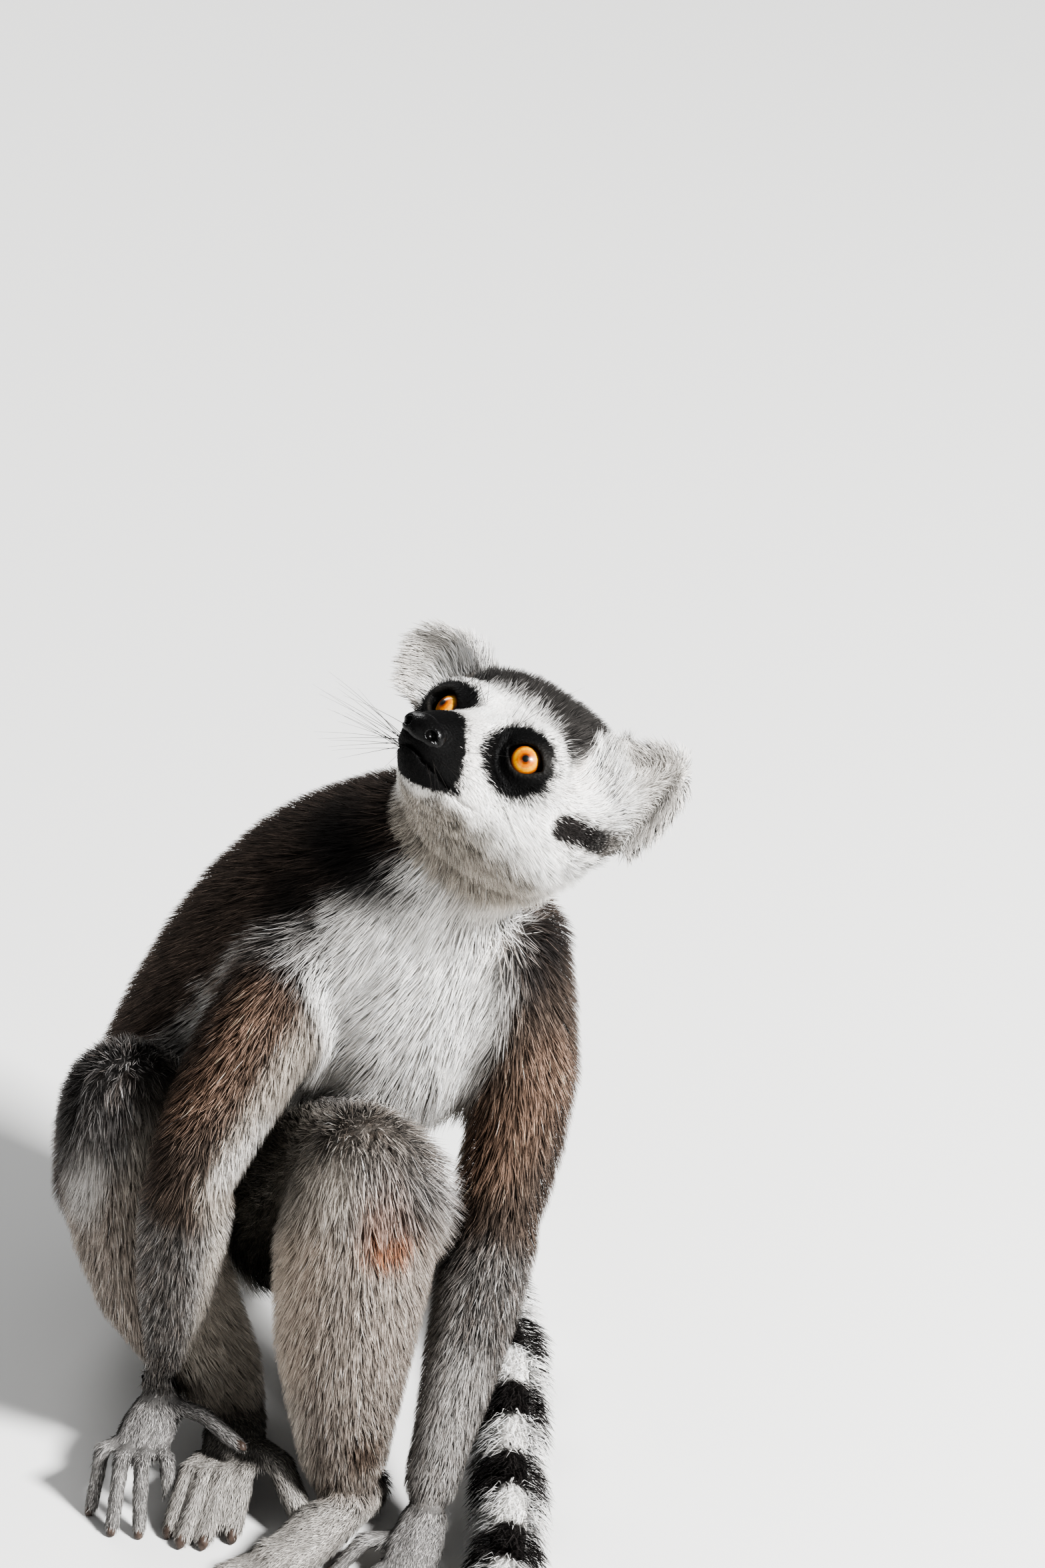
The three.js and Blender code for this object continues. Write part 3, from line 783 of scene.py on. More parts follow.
def growth(points, shares, normals):
    """The coat's height, the length of its hair, how close it stands and the width of a hair."""
    height, length, close, width = np.zeros((4, len(points)))
    head = to_head(points)
    for node, share in zip(NAMES, shares):
        used = share > 0
        heights, lengths, density, hair_width = COAT[kind(node)]
        if node == "head":
            node_height, node_length = head_coat(head[used])
        else:
            along = nearest_on(points[used], MIDDLES[node])[0]
            node_height = heights[0] + (heights[1] - heights[0]) * along
            node_length = lengths[0] + (lengths[1] - lengths[0]) * along
        height[used] += share[used] * node_height
        length[used] += share[used] * node_length
        close += share * density
        width += share * hair_width
    for side in SIDES:
        ear, along, _ = on_ear(head, side)
        height += ear * (2.4 - height)
        length += ear * (11 - 3.5 * along - length)
        close += ear * (3.6 - close)
        width += ear * (0.28 - width)
    trunk = share_of(shares, "trunk")
    longer = [  # where the coat is longer, and by how much in height and in length
        (shares[0] * on_cap(head), 4.5, 3.5),
        (trunk * below_breast(points) * rise_to(0.1, -0.5, normals[:, 2]), 8.0, 9.0),
        (rise_to(28, 12, length_of(points - KNEE_GAP)) * (1 - trunk), 9.0, 9.5),
    ]
    for mask, more_height, more_length in longer:
        height += more_height * mask
        length += more_length * mask
    lid = rise_to(2.6, 1.2, eye_gap(head))
    canal = np.max([ear_canal(head + [0, ahead, 0]) for ahead in (0, 3.5, 7)], axis=0)
    height *= (1 - 0.75 * lid) * (1 - 0.5 * canal)
    length *= (1 - 0.7 * lid) * (1 - 0.65 * canal)
    close *= rise_to(1.1, 1.35, eye_gap(head)) * (0.75 + 0.5 * rise_to(-0.4, 0.4, normals @ TO_CAMERA))
    close *= 1 - sole(shares, normals)
    close *= rise_to(0.9, 1.15, length_of((head - [0, -61, -3.5]) / [9.5, 6.5, 7]))
    return height, length, close, width


# ---------------------------------------------------------------- markings
WHITE = (0.82, 0.80, 0.77)
CREAM = (0.66, 0.60, 0.53)
BEIGE = (0.46, 0.42, 0.37)
BUFF = (0.50, 0.42, 0.35)
PALE_GREY = (0.42, 0.40, 0.38)
GREY = (0.185, 0.175, 0.168)
CHARCOAL = (0.125, 0.112, 0.10)
SLATE = (0.06, 0.056, 0.054)
# BROWN is the grey-brown of the back and upper arms painted much darker, as the shade that lies over the
# back; on the belly it is painted shade over paler fur
BROWN = (0.062, 0.047, 0.038)
RUSTY = (0.175, 0.112, 0.08)
OCHRE = (0.19, 0.068, 0.028)
SPECKLE = (0.085, 0.062, 0.048)
DARK = (0.022, 0.019, 0.018)
CAP = (0.034, 0.0315, 0.0295)
THROAT = (0.215, 0.188, 0.155)
BLACK = (0.0035, 0.0033, 0.0033)
PUPIL = (0.002, 0.002, 0.002)
LEATHER = (0.10, 0.085, 0.08)

BASE = {
    "head": WHITE,
    "neck": BEIGE,
    # the trunk's and upper arms' brown is partly painted shade
    "trunk": BROWN,
    "upper_arm": BROWN,
    "forearm": (0.105, 0.098, 0.092),
    "hand": (0.26, 0.25, 0.24),
    "thigh": GREY,
    "shin": (0.255, 0.222, 0.195),
    "foot": (0.36, 0.34, 0.315),
    "tail": WHITE,
}

# The inner side of each limb: its colour and strength, and how much narrower it is than half of the limb.
INNER = {
    "upper_arm": (CREAM, 0.6, 0.3),
    "forearm": (PALE_GREY, 0.5, 0.3),
    "thigh": (CREAM, 0.8, 0),
    "shin": (CREAM, 0.8, 0),
}

# Patches of colour: the nodes that carry one, the line that it follows, its half width, colour and strength.
PATCHES = [
    ("trunk neck", [(13, 14, 224), (-3, 40, 232)], 13, DARK, 1),
    ("trunk upper_arm_right", [(-12, 26, 208), (-18, 14, 192)], 13, DARK, 0.9),
    ("trunk upper_arm_left neck", [(62, 12, 194), (72, 30, 197)], 13, DARK, 0.95),
    ("upper_arm_right", [(-24, 6, 184), (-36, -6, 168), (-48, -7, 160)], 14, RUSTY, 0.5),
    ("upper_arm_left", [(69, 9, 158), (61, 3, 143), (47, 4, 131)], 14, RUSTY, 0.55),
    ("upper_arm_left trunk", [(53, 13, 206), (52, 14, 200)], 6, BUFF, 0.8),
    ("upper_arm_right trunk", [(-8, 30, 134), (-22, -4, 140), (-32, -19, 134)], 8, WHITE, 0.9),
    ("upper_arm_right forearm_right", [(-33, -20, 132), (-36, -18, 117), (-40, -12, 93)], 5.5, CREAM, 1),
    ("forearm_right", [(-40, -12, 93), (-48, 1, 51)], 4.5, CREAM, 0.9),
    ("forearm_left", [(38, -28, 60), (27, -40, 28)], 12, PALE_GREY, 0.7),
    ("forearm_left", [(31, -8, 86), (22, -22, 50)], 9, PALE_GREY, 0.7),
    ("shin_left thigh_left", [(5, -11, 152), (24, -1, 146)], 19, CHARCOAL, 1),
    ("shin_left", [(15, -29, 128), (17, -31, 120)], 11, OCHRE, 1),
    ("shin_left", [(5, -29, 42), (6, -32, 36)], 6, SPECKLE, 0.9),
    ("shin_left", [(-16, -27, 125), (-18, -24, 70)], 13, BUFF, 0.7),
    ("shin_right thigh_right", [(-81, 27, 146), (-80, 40, 148)], 14, SLATE, 0.9),
    ("shin_right", [(-85, 18, 128), (-91, 18, 105)], 12, WHITE, 0.8),
    ("shin_right", [(-46, 8, 60), (-38, 8, 34)], 14, CREAM, 0.9),
]

# The edge of the black muzzle: its height, and how far back it lies there.
MUZZLE = [(-20, -56), (-18, -50), (-12, -41.5), (-10, -45), (-1, -50), (3.4, -51.5), (9.3, -47.5), (14, -46)]
TAIL_RINGS = 13  # pairs of a white and a black ring
RINGS_FROM = 0.05  # share of the tail before the first
TIP_FROM = 0.975  # share of it before the black tip
FRONT = np.array([0.38, -0.92, 0.0])  # the way that the breast faces


def mixed(colour, mask, target):
    """Colours moved towards another by a mask."""
    return colour + mask[:, None] * (np.asarray(target) - colour)


def head_markings(points):
    """The face: white, with a slate cap, black round the eyes and on the muzzle, and a grey throat."""
    x, y, z = np.abs(points[:, 0]), points[:, 1], points[:, 2]
    colour = np.tile(WHITE, (len(points), 1))
    cap_low = np.interp(y, [-20, 8, 25], [13, 9, -2])
    colour = mixed(colour, rise_to(-25.0, -20.5, y + 0.004 * x**2) * rise_to(0, 7, z - cap_low), CAP)
    temple = length_of((np.column_stack([x, y, z]) - [28, -15, 16]) / [5, 6, 6])
    colour = mixed(colour, 0.6 * rise_to(1.4, 0.5, temple), BUFF)
    blotch = mottle(points, 4.0)
    throat = rise_to(-11, -20, z + 2 * blotch) * rise_to(-54, -40, y)
    colour = mixed(colour, 0.9 * throat, THROAT) * (1 + 0.55 * throat * blotch)[:, None]
    edge = np.interp(z, *np.array(MUZZLE).T) + 1.3 * mottle(points, 1.3)
    colour = mixed(colour, 0.7 * rise_to(9, 0, y - edge) * rise_to(-16, -8, z), PALE_GREY)
    for sign in SIDES.values():
        centre, inward, up, ahead = eye_frame(sign)
        offset = points - centre
        reach = np.hypot(offset @ inward - 1.8, (offset @ up + 1.8) * 0.98) + 0.7 * mottle(points, 2.0)
        colour = mixed(colour, rise_to(12.8, 10.8, reach) * rise_to(-1, 3, offset @ ahead), BLACK)
    colour = mixed(colour, rise_to(1.0, -1.0, y - edge), BLACK)
    for side in SIDES:
        colour = mixed(colour, on_ear(points, side)[0], WHITE)
    return mixed(colour, ear_canal(points + [0, 1.5, 0]) * (0.93 + 0.065 * rise_to(40, 33, x)), DARK)


def tail_markings(points):
    """White and black rings, and a black tip."""
    share = nearest_on(points, TAIL)[0]
    turn = (share - RINGS_FROM) / (TIP_FROM - RINGS_FROM) * TAIL_RINGS * 2 * math.pi
    colour = mixed(np.tile(WHITE, (len(points), 1)), rise_to(-0.2, 0.2, -np.sin(turn)), DARK)
    colour = mixed(colour, rise_to(TIP_FROM - 0.01, TIP_FROM, share), DARK)
    return mixed(colour, rise_to(RINGS_FROM, RINGS_FROM - 0.02, share), GREY)


def turned_to(points, line, towards):
    """How far round a line each point lies towards a direction, from 1 on that side to -1 on the other."""
    way = way_along(points, [line])
    flat = towards - (way @ towards)[:, None] * way
    return (unit(nearest_on(points, line)[1]) * unit(flat)).sum(axis=1)


def over(used, value):
    """Values at the points in use, and 0 at the others."""
    result = np.zeros(len(used))
    result[used] = value
    return result


def markings(points, shares):
    """The coat's colour at points of the skin."""
    colour = sum(row[:, None] * np.array(BASE[kind(node)]) for row, node in zip(shares, NAMES))
    front = turned_to(points, SPINE, FRONT)
    breast = share_of(shares, "trunk", "neck") * rise_to(0.3, 0.7, front + 0.1 * mottle(points, 5.0))
    colour = mixed(colour, breast, WHITE)
    colour = mixed(colour, 0.5 * share_of(shares, "neck") * rise_to(0.6, 0.95, front), BEIGE)
    for (side, sign), limb in itertools.product(SIDES.items(), INNER):
        target, strength, narrow = INNER[limb]
        inward = np.array([-sign * 0.92, sign * 0.38, -0.25])
        share = share_of(shares, f"{limb}_{side}")
        used = share > 0
        turn = turned_to(points[used], MIDDLES[f"{limb}_{side}"], inward)
        mask = over(used, rise_to(0.1 + narrow, 0.8 + narrow / 2, turn))
        colour = mixed(colour, strength * mask * share, target)
    for nodes, line, half_width, target, strength in PATCHES:
        share = share_of(shares, *nodes.split())
        used = share > 0
        gap = tube(points[used], line, half_width)
        mask = over(used, share[used] * rise_to(0.45 * half_width, -0.55 * half_width, gap))
        colour = mixed(colour, strength * mask, target)
    limbs = share_of(shares, "forearm", "shin", "thigh", "upper_arm")
    colour = mixed(colour, 0.45 * limbs * rise_to(0.0, 0.7, mottle(points, 2.6)), SPECKLE)
    tail, head = share_of(shares, "tail"), shares[0]
    colour[tail > 0] += tail[tail > 0, None] * (tail_markings(points[tail > 0]) - BASE["tail"])
    colour[head > 0] += head[head > 0, None] * (head_markings(to_head(points[head > 0])) - BASE["head"])
    return np.clip(colour, 0.003, 1)


# ---------------------------------------------------------------- the unwrap that skin and tufts share
UNWRAP = 620.0  # millimetres across the whole map
ROOM = 3.0  # between one chart and the next


def unwrap(points, quads, shares):
    """Each quad's chart, a node's faces that look along one axis, each chart's axes and place on the map, and
    the map's extent."""
    face = face_vectors(points, quads)
    axis = np.abs(face).argmax(axis=1)
    looks = axis * 2 + (np.take_along_axis(face, axis[:, None], 1)[:, 0] > 0)
    chart = shares[:, quads[:, 0]].argmax(axis=0) * 6 + looks
    boxes = []
    for key in np.unique(chart):
        flat = [k for k in range(3) if k != (key % 6) // 2]
        used = points[quads[chart == key]].reshape(-1, 3)[:, flat]
        boxes.append((key, flat, used.min(axis=0), np.ptp(used, axis=0)))
    boxes.sort(key=lambda box: -box[3][1])
    places = {}
    left, low, row = 0.0, 0.0, 0.0
    for key, flat, corner, size in boxes:
        if left + size[0] > UNWRAP:
            left, low, row = 0.0, low + row + ROOM, 0.0
        places[key] = (flat, corner, np.array([left, low]))
        left += size[0] + ROOM
        row = max(row, size[1])
    return chart, places, max(low + row, UNWRAP)


def on_map(points, chart):
    """The place on the map of points, each in its chart."""
    result = np.zeros((len(points), 2))
    for key, (flat, corner, place) in chart_places.items():
        used = chart == key
        result[used] = (points[used][:, flat] - corner + place) / map_extent
    return result


skin_normals = normals_of(skin_points, skin_quads)
skin_shares = node_shares(skin_points)
skin_way = smoothed(coat_way(skin_points, skin_shares, skin_normals), skin_quads, WAY_ROUNDS)
skin_height, skin_length, skin_close, skin_width = growth(skin_points, skin_shares, skin_normals)
skin_chart, chart_places, map_extent = unwrap(skin_points, skin_quads, skin_shares)


def painted(obj, colour):
    """Give a mesh its markings, a colour at each point."""
    layer = obj.data.color_attributes.new("markings", "FLOAT_COLOR", "POINT")
    colour = np.column_stack([colour, np.ones(len(colour))]).astype(np.float32)
    layer.data.foreach_set("color", colour.ravel())


def mapped(obj, places):
    """Give a mesh its OFBake map, a place for each corner of its faces."""
    layer = obj.data.uv_layers.new(name="OFBake")
    layer.data.foreach_set("uv", places.astype(np.float32).ravel())


# ---------------------------------------------------------------- materials
class Look:
    """A node material in the making."""

    def __init__(self, name):
        self.material = bpy.data.materials.new(name)
        self.material.use_nodes = True
        self.tree = self.material.node_tree

    def fill(self, node, inputs):
        """Give a node's inputs numbers, colours or other nodes' outputs."""
        for name, value in inputs.items():
            if isinstance(value, bpy.types.NodeSocket):
                self.tree.links.new(value, node.inputs[name])
            else:
                node.inputs[name].default_value = value

    def add(self, what, output, inputs=None, **settings):
        """The output of a new node with these inputs and settings."""
        node = self.tree.nodes.new(f"ShaderNode{what}")
        for name, value in settings.items():
            setattr(node, name, value)
        self.fill(node, inputs or {})
        return node.outputs[output]

    def ramp(self, share, first, last):
        """A colour between two, by a share."""
        colour = self.add("ValToRGB", "Color", {"Fac": share})
        for element, tint in zip(colour.node.color_ramp.elements, (first, last)):
            element.color = (*tint, 1)
        return colour

    def clouded(self, noise, tones):
        """The mesh's markings, darker and lighter from place to place."""
        cloud = self.add("TexNoise", "Fac", {"Vector": self.place(), **noise})
        tone = self.add("MapRange", "Result", {"Value": cloud, **tones})
        return self.add("VectorMath", 0, {0: self.marks(), "Scale": tone}, operation="SCALE")

    def place(self):
        """Where each point is, in the mesh's own frame."""
        return self.add("TexCoord", "Object")

    def marks(self):
        """The mesh's markings."""
        return self.add("VertexColor", "Color", layer_name="markings")

    def done(self, inputs):
        """The material, when its shader's inputs are given."""
        self.fill(self.tree.nodes["Principled BSDF"], inputs)
        return self.material


def fur_material():
    """Hair: its markings, a little darker and lighter from place to place, with a soft gloss."""
    look = Look("fur")
    tones = {"From Min": 0.3, "From Max": 0.7, "To Min": 0.82, "To Max": 1.15}
    colour = look.clouded({"Scale": 260, "Detail": 3}, tones)
    return look.done({"Base Color": colour, "Roughness": 0.7, "Specular IOR Level": 0.22})


def skin_material():
    """Skin under the coat and bare leather: its markings, with fine creases and pores."""
    look = Look("skin")
    place = look.place()
    creases = look.add("TexNoise", "Fac", {"Vector": place, "Scale": 900, "Detail": 4})
    pores = look.add("TexVoronoi", "Distance", {"Vector": place, "Scale": 1100})
    both = look.add("Math", 0, {0: creases, 1: pores}, operation="ADD")
    bump = look.add("Bump", "Normal", {"Height": both, "Strength": 0.5, "Distance": 0.0004})
    colour = look.marks()
    return look.done({"Base Color": colour, "Normal": bump, "Roughness": 0.6, "Specular IOR Level": 0.15})


def leather_material(name, colour, roughness, grain):
    """Bare leather or horn with a fine grain of small cells, their creases painted darker as shade."""
    look = Look(name)
    cells = look.add("TexVoronoi", "Distance", {"Vector": look.place(), "Scale": grain})
    # painted shade: the colour darkens towards each cell's crease
    tint = look.ramp(cells, [v * 1.4 for v in colour], [v * 0.5 for v in colour])
    bump = look.add("Bump", "Normal", {"Height": cells, "Strength": 0.4, "Distance": 0.0002}, invert=True)
    gloss = {"Roughness": roughness, "Specular IOR Level": 0.32}
    return look.done({"Base Color": tint, "Normal": bump, **gloss})


def eye_material():
    """The eye: its painted iris, faintly mottled, under a clear wet cornea."""
    look = Look("eye")
    colour = look.clouded({"Scale": 1600}, {"To Min": 0.75, "To Max": 1.25})
    return look.done({"Base Color": colour, "Roughness": 0.35, "Coat Weight": 1.0, "Coat Roughness": 0.02})


def floor_material():
    """A pale matt floor, very faintly clouded."""
    look = Look("floor")
    tint = look.ramp(look.add("TexNoise", "Fac", {"Scale": 2}), (0.78, 0.775, 0.76), (0.82, 0.815, 0.80))
    return look.done({"Base Color": tint, "Roughness": 0.8})


def placed(piece, material, slot, *nodes):
    """Give a piece its material and put it on the body, for these nodes of the part. The slot is not used."""
    piece.data.materials.append(material)
    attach(piece, "root")
    if nodes:
        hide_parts(*nodes)


UNDERCOAT_SHADE = 0.75  # the skin's tone, against the coat's, beneath a dark coat: painted shade deep in the coat
PAW_UNDERCOAT = 0.5  # the skin's own darker tone, against the coat's, on hands and feet
BARE = 1.6  # the head's coat under this height shows the skin

skin = mesh_object("skin", skin_points, skin_quads)
skin_colour = markings(skin_points, skin_shares)
# under: painted shade darkens the skin beneath a dark coat; hands and feet keep their own darker skin, and
# the head's bare skin is left as it is
under = UNDERCOAT_SHADE + (1 - UNDERCOAT_SHADE) * rise_to(0.3, 0.7, skin_colour.mean(axis=1))
under[share_of(skin_shares, "hand", "foot") > 0.5] = PAW_UNDERCOAT
under[(skin_shares[0] > 0.5) & (skin_height <= BARE)] = 1
painted(skin, mixed(skin_colour * under[:, None], sole(skin_shares, skin_normals), LEATHER))
mapped(skin, on_map(skin_points[skin_quads.ravel()], np.repeat(skin_chart, 4)))
placed(skin, skin_material(), "coat", *NODES, "ear_left", "ear_right")


# ---------------------------------------------------------------- the coat
HAIRS = 236000  # in all, six triangles each
PIECE = 33000  # hairs in one piece of the coat, to stay under its triangles
SWELL = 0.42  # where along a hair it is widest
SINK = 0.4  # how deep a root stands in the skin
LOCK, CLUMP = 2.6, 7.0  # sizes of the small and large locks that the hairs gather in
CELLS = 7919  # more than the locks along any side of the model
BEND = 0.035  # how far the middle of a hair strays, for each millimetre of its length
ROUND = 0.7  # how round a hair is lit
# The least and most of a hair's height, length and width, against what its place calls for.
HEIGHTS, LENGTHS, WIDTHS = (0.82, 1.16), (0.75, 1.08), (0.75, 1.25)
STRAY = 2.0  # how far the tips of hairs and whiskers may stand out of the solids' box
CLEAR = 0.15  # how far they stay within it elsewhere
HAIR_FACES = np.array([[0, 2, 1], [0, 3, 2], [0, 1, 3], [4, 1, 2], [4, 2, 3], [4, 3, 1]])
# A hair's patch on the map, in shares of it, one place for each of its points.
HAIR_PATCH = 0.0015 * np.array([[0, -1], [-0.8, -0.3], [0.8, -0.3], [0, 0.2], [0, 1]])
# How light a hair is at its root, at the three points of its swell and at its tip. The darker root is painted
# shade deep in the coat; in grey hairs the dark base and pale tip are also their own agouti banding.
AGOUTI_AND_ROOT_SHADE = np.array([0.45, 0.7, 0.7, 0.7, 2.3])
DARK_HAIR = np.array([0.7, 0.92, 0.92, 0.92, 1.15])
WHITE_HAIR = np.array([0.92, 0.98, 0.98, 0.98, 1.03])


def hair_roots():
    """The quad that each hair grows in and the shares of its four corners."""
    wanted = length_of(face_vectors(skin_points, skin_quads)) / 2 * skin_close[skin_quads].mean(axis=1)
    wanted *= HAIRS / wanted.sum()
    count = np.floor(wanted + RNG.random(len(wanted))).astype(int)
    quad = np.repeat(np.arange(len(count)), count)
    u, v = RNG.random((2, len(quad)))
    return quad, np.stack([(1 - u) * (1 - v), u * (1 - v), u * v, (1 - u) * v], axis=1)


def drawn_together(points, roots, size, pull):
    """Points of the hairs pulled to the middle of their lock, of a given size at the roots."""
    warp = 0.35 * size * np.sin(roots[:, [1, 2, 0]] * 2.1 / size)
    cell = np.floor((roots + warp) / size).astype(np.int64)
    key = (cell[:, 0] * CELLS + cell[:, 1]) * CELLS + cell[:, 2]
    _, lock = np.unique(key, return_inverse=True)
    middle = gathered(lock, points, 0) / np.bincount(lock)[:, None]
    return points + pull[:, None] * (middle[lock] - points)


def hair_points(root, normal, way, height, length, width):
    """Each hair's root, the three points of its swell, and its tip, and the way that each is lit: mostly as
    the skin below is, so that the coat shades as one soft form."""
    lift = np.clip(height / length, 0, 0.8)
    first, last = (np.arcsin(np.clip(much * lift, 0, 0.95))[:, None] for much in (1.3, 0.7))
    start = way * np.cos(first) + normal * np.sin(first)
    end = way * np.cos(last) + normal * np.sin(last)
    reach = length[:, None]
    swell, tip = (root + reach * (start * u + (end - start) * u * u / 2) for u in (SWELL, 1))
    swell += BEND * reach * RNG.normal(0, 1, root.shape)
    pull = np.clip(height / 9, 0.12, 0.62) * RNG.uniform(0.6, 1.2, len(root))
    tip = drawn_together(tip, root, LOCK, pull)
    tip = drawn_together(tip, root, CLUMP, 0.35 * pull)
    swell = drawn_together(swell, root, LOCK, 0.25 * pull)
    side = unit(np.cross(tip - swell, normal))
    outward = unit(np.cross(side, tip - swell))
    points, normals = [root], [normal]
    for turn in (-math.pi / 2, math.pi * 5 / 6, math.pi / 6):
        step = side * math.cos(turn) + 0.5 * outward * math.sin(turn)
        points.append(swell + width[:, None] / 2 * step)
        normals.append(unit(normal + ROUND * step))
    return np.stack(points + [tip], axis=1), np.stack(normals + [unit(normal + 0.3 * way)], axis=1)


def kept_in(hairs):
    """Hairs shortened towards their roots where they would pass the part's box or the ground."""
    low, high = BODY_BOX[0] + [-STRAY, CLEAR, CLEAR], BODY_BOX[1] + [STRAY, -CLEAR, STRAY]
    root = hairs[:, :1]
    step = hairs - root
    with np.errstate(divide="ignore", invalid="ignore"):
        room = np.where(step > 0, (high - root) / step, np.where(step < 0, (low - root) / step, 1))
    return root + step * np.clip(np.nanmin(room, axis=(1, 2)), 0.02, 1)[:, None, None]


def hair_colours(root, shares):
    """The colour of each of a hair's points: the markings at its root, in its own tone with painted glints on
    some black hairs, banded if grey, and darker towards the root as painted shade.
    """
    colour = markings(root + RNG.normal(0, 0.9, root.shape), shares)
    light = colour.mean(axis=1)
    # random tone of each hair: grizzling in a grey coat, and on black hair a wider spread whose lighter hairs
    # are painted glints
    grizzle_and_glints = 0.6 * np.exp(-((np.log(light / 0.09) / 1.2) ** 2)) + 0.07 + 0.6 * rise_to(0.012, 0.006, light)
    tone = np.exp(RNG.normal(0, 1, len(root)) * grizzle_and_glints)
    pale = rise_to(0.35, 0.7, light)[:, None]
    agouti = np.exp(-((np.log(light / 0.11) / 1.1) ** 2))[:, None]
    # every profile darkens the hair towards its root: painted shade deep in the coat
    bands_and_root_shade = AGOUTI_AND_ROOT_SHADE * agouti + (1 - agouti) * (WHITE_HAIR * pale + DARK_HAIR * (1 - pale))
    return np.clip(np.clip(colour * tone[:, None], 0.004, 0.86)[:, None] * bands_and_root_shade[:, :, None], 0.003, 0.9)


def coat_pieces():
    """The whole coat, in pieces."""
    quad, corner = hair_roots()
    count = len(quad)

    def spread(values):
        """Values at the points of the skin, at the hairs' roots."""
        shares = corner.reshape(corner.shape + (1,) * (values.ndim - 1))
        return (values[skin_quads[quad]] * shares).sum(axis=1)

    root, normal = spread(skin_points), unit(spread(skin_normals))
    shares = np.stack([spread(row) for row in skin_shares])
    stray = 0.22 - 0.06 * shares[:1].T + 0.12 * share_of(shares, "neck")[:, None]
    way = flat_on(normal, spread(skin_way) + stray * RNG.normal(0, 1, (count, 3)))
    height = spread(skin_height) * RNG.uniform(*HEIGHTS, count)
    length = spread(skin_length) * RNG.uniform(*LENGTHS, count)
    width = spread(skin_width) * RNG.uniform(*WIDTHS, count)
    colour = hair_colours(root, shares)
    hairs, lit = hair_points(root - SINK * normal, normal, way, height, length, width)
    hairs = kept_in(hairs)
    places = on_map(root, skin_chart[quad])[:, None] + HAIR_PATCH
    order = np.argsort(shares.argmax(axis=0), kind="stable")
    for number, start in enumerate(range(0, count, PIECE)):
        chosen = order[start : start + PIECE]
        index = (np.arange(len(chosen)) * 5)[:, None, None] + HAIR_FACES
        piece = mesh_object(f"coat_{number + 1}", hairs[chosen].reshape(-1, 3), index.reshape(-1, 3))
        painted(piece, colour[chosen].reshape(-1, 3))
        mapped(piece, places[chosen][:, HAIR_FACES.ravel()])
        piece.data.normals_split_custom_set_from_vertices(lit[chosen].reshape(-1, 3))
        yield piece


fur = fur_material()
for piece in coat_pieces():
    placed(piece, fur, "coat")


# ---------------------------------------------------------------- the nose
def surface_of(shape, low, high, step):
    """Points and quads of a shape given by its field, in the head's frame, over a box there."""
    first, counts = grid_over(low, high, step)
    places = (np.argwhere(np.ones(counts, bool)) + first) * step
    return Field(shape(places).reshape(counts).astype(np.float32), first * step, step).surface()


nose_points, nose_quads = surface_of(nose_pad, (-12, -69, -12), (12, -54, 5), 0.4)
nose = mesh_object("nose_pad", from_head(nose_points), nose_quads)
placed(nose, leather_material("nose_leather", (0.006, 0.0056, 0.0056), 0.3, 1700), "nose", "nose")


# ---------------------------------------------------------------- eyes, nails and whiskers
def lofted(rings, first, last):
    """Points and triangles of a closed form through rings of points, with one point at each end."""
    rows, columns = rings.shape[:2]
    index = np.arange(rows * columns).reshape(rows, columns)
    ahead = np.roll(index, -1, axis=1)
    ends = rows * columns + np.array([[0], [1]]) + np.zeros((1, columns), int)
    faces = [
        (index[:-1], ahead[:-1], ahead[1:]),
        (index[:-1], ahead[1:], index[1:]),
        (ends[0], ahead[0], index[0]),
        (ends[1], index[-1], ahead[-1]),
    ]
    points = np.concatenate([rings.reshape(-1, 3), [first, last]])
    return points, np.concatenate([np.stack(corners, axis=-1).reshape(-1, 3) for corners in faces])


CORNEA = 0.8  # how far it stands out of the ball
CORNEA_EDGE = 36.0  # degrees from the eye's axis
IRIS_EDGE = 33.5
PUPIL_EDGE = 6.5
EYE_COLUMNS = 120
AMBER = (0.56, 0.165, 0.002)
YELLOW = (0.80, 0.42, 0.03)
RUST = (0.17, 0.03, 0.001)


def iris_colours(far, turn):
    """The colours of the eye by the degrees from its axis and the turn round it, which the fibres follow."""
    fibres = sum(np.sin(k * turn + 1.7 * k) / k**0.5 for k in (5, 11, 17, 26, 37, 53)) / 3
    colour = mixed(np.tile(AMBER, (len(far), 1)), rise_to(15, 8, far + 2 * fibres), RUST)
    yellow = rise_to(-0.5, 0.8, fibres + 0.5 * np.sin(far / 3))
    colour = mixed(colour, 0.9 * yellow * rise_to(10, 17, far), YELLOW)
    colour = mixed(colour, 0.85 * rise_to(26, 33, far + 2 * fibres), RUST)
    colour = mixed(colour, rise_to(IRIS_EDGE - 1.5, IRIS_EDGE + 1, far), BLACK)
    return mixed(colour, rise_to(PUPIL_EDGE + 0.8, PUPIL_EDGE, far), PUPIL)


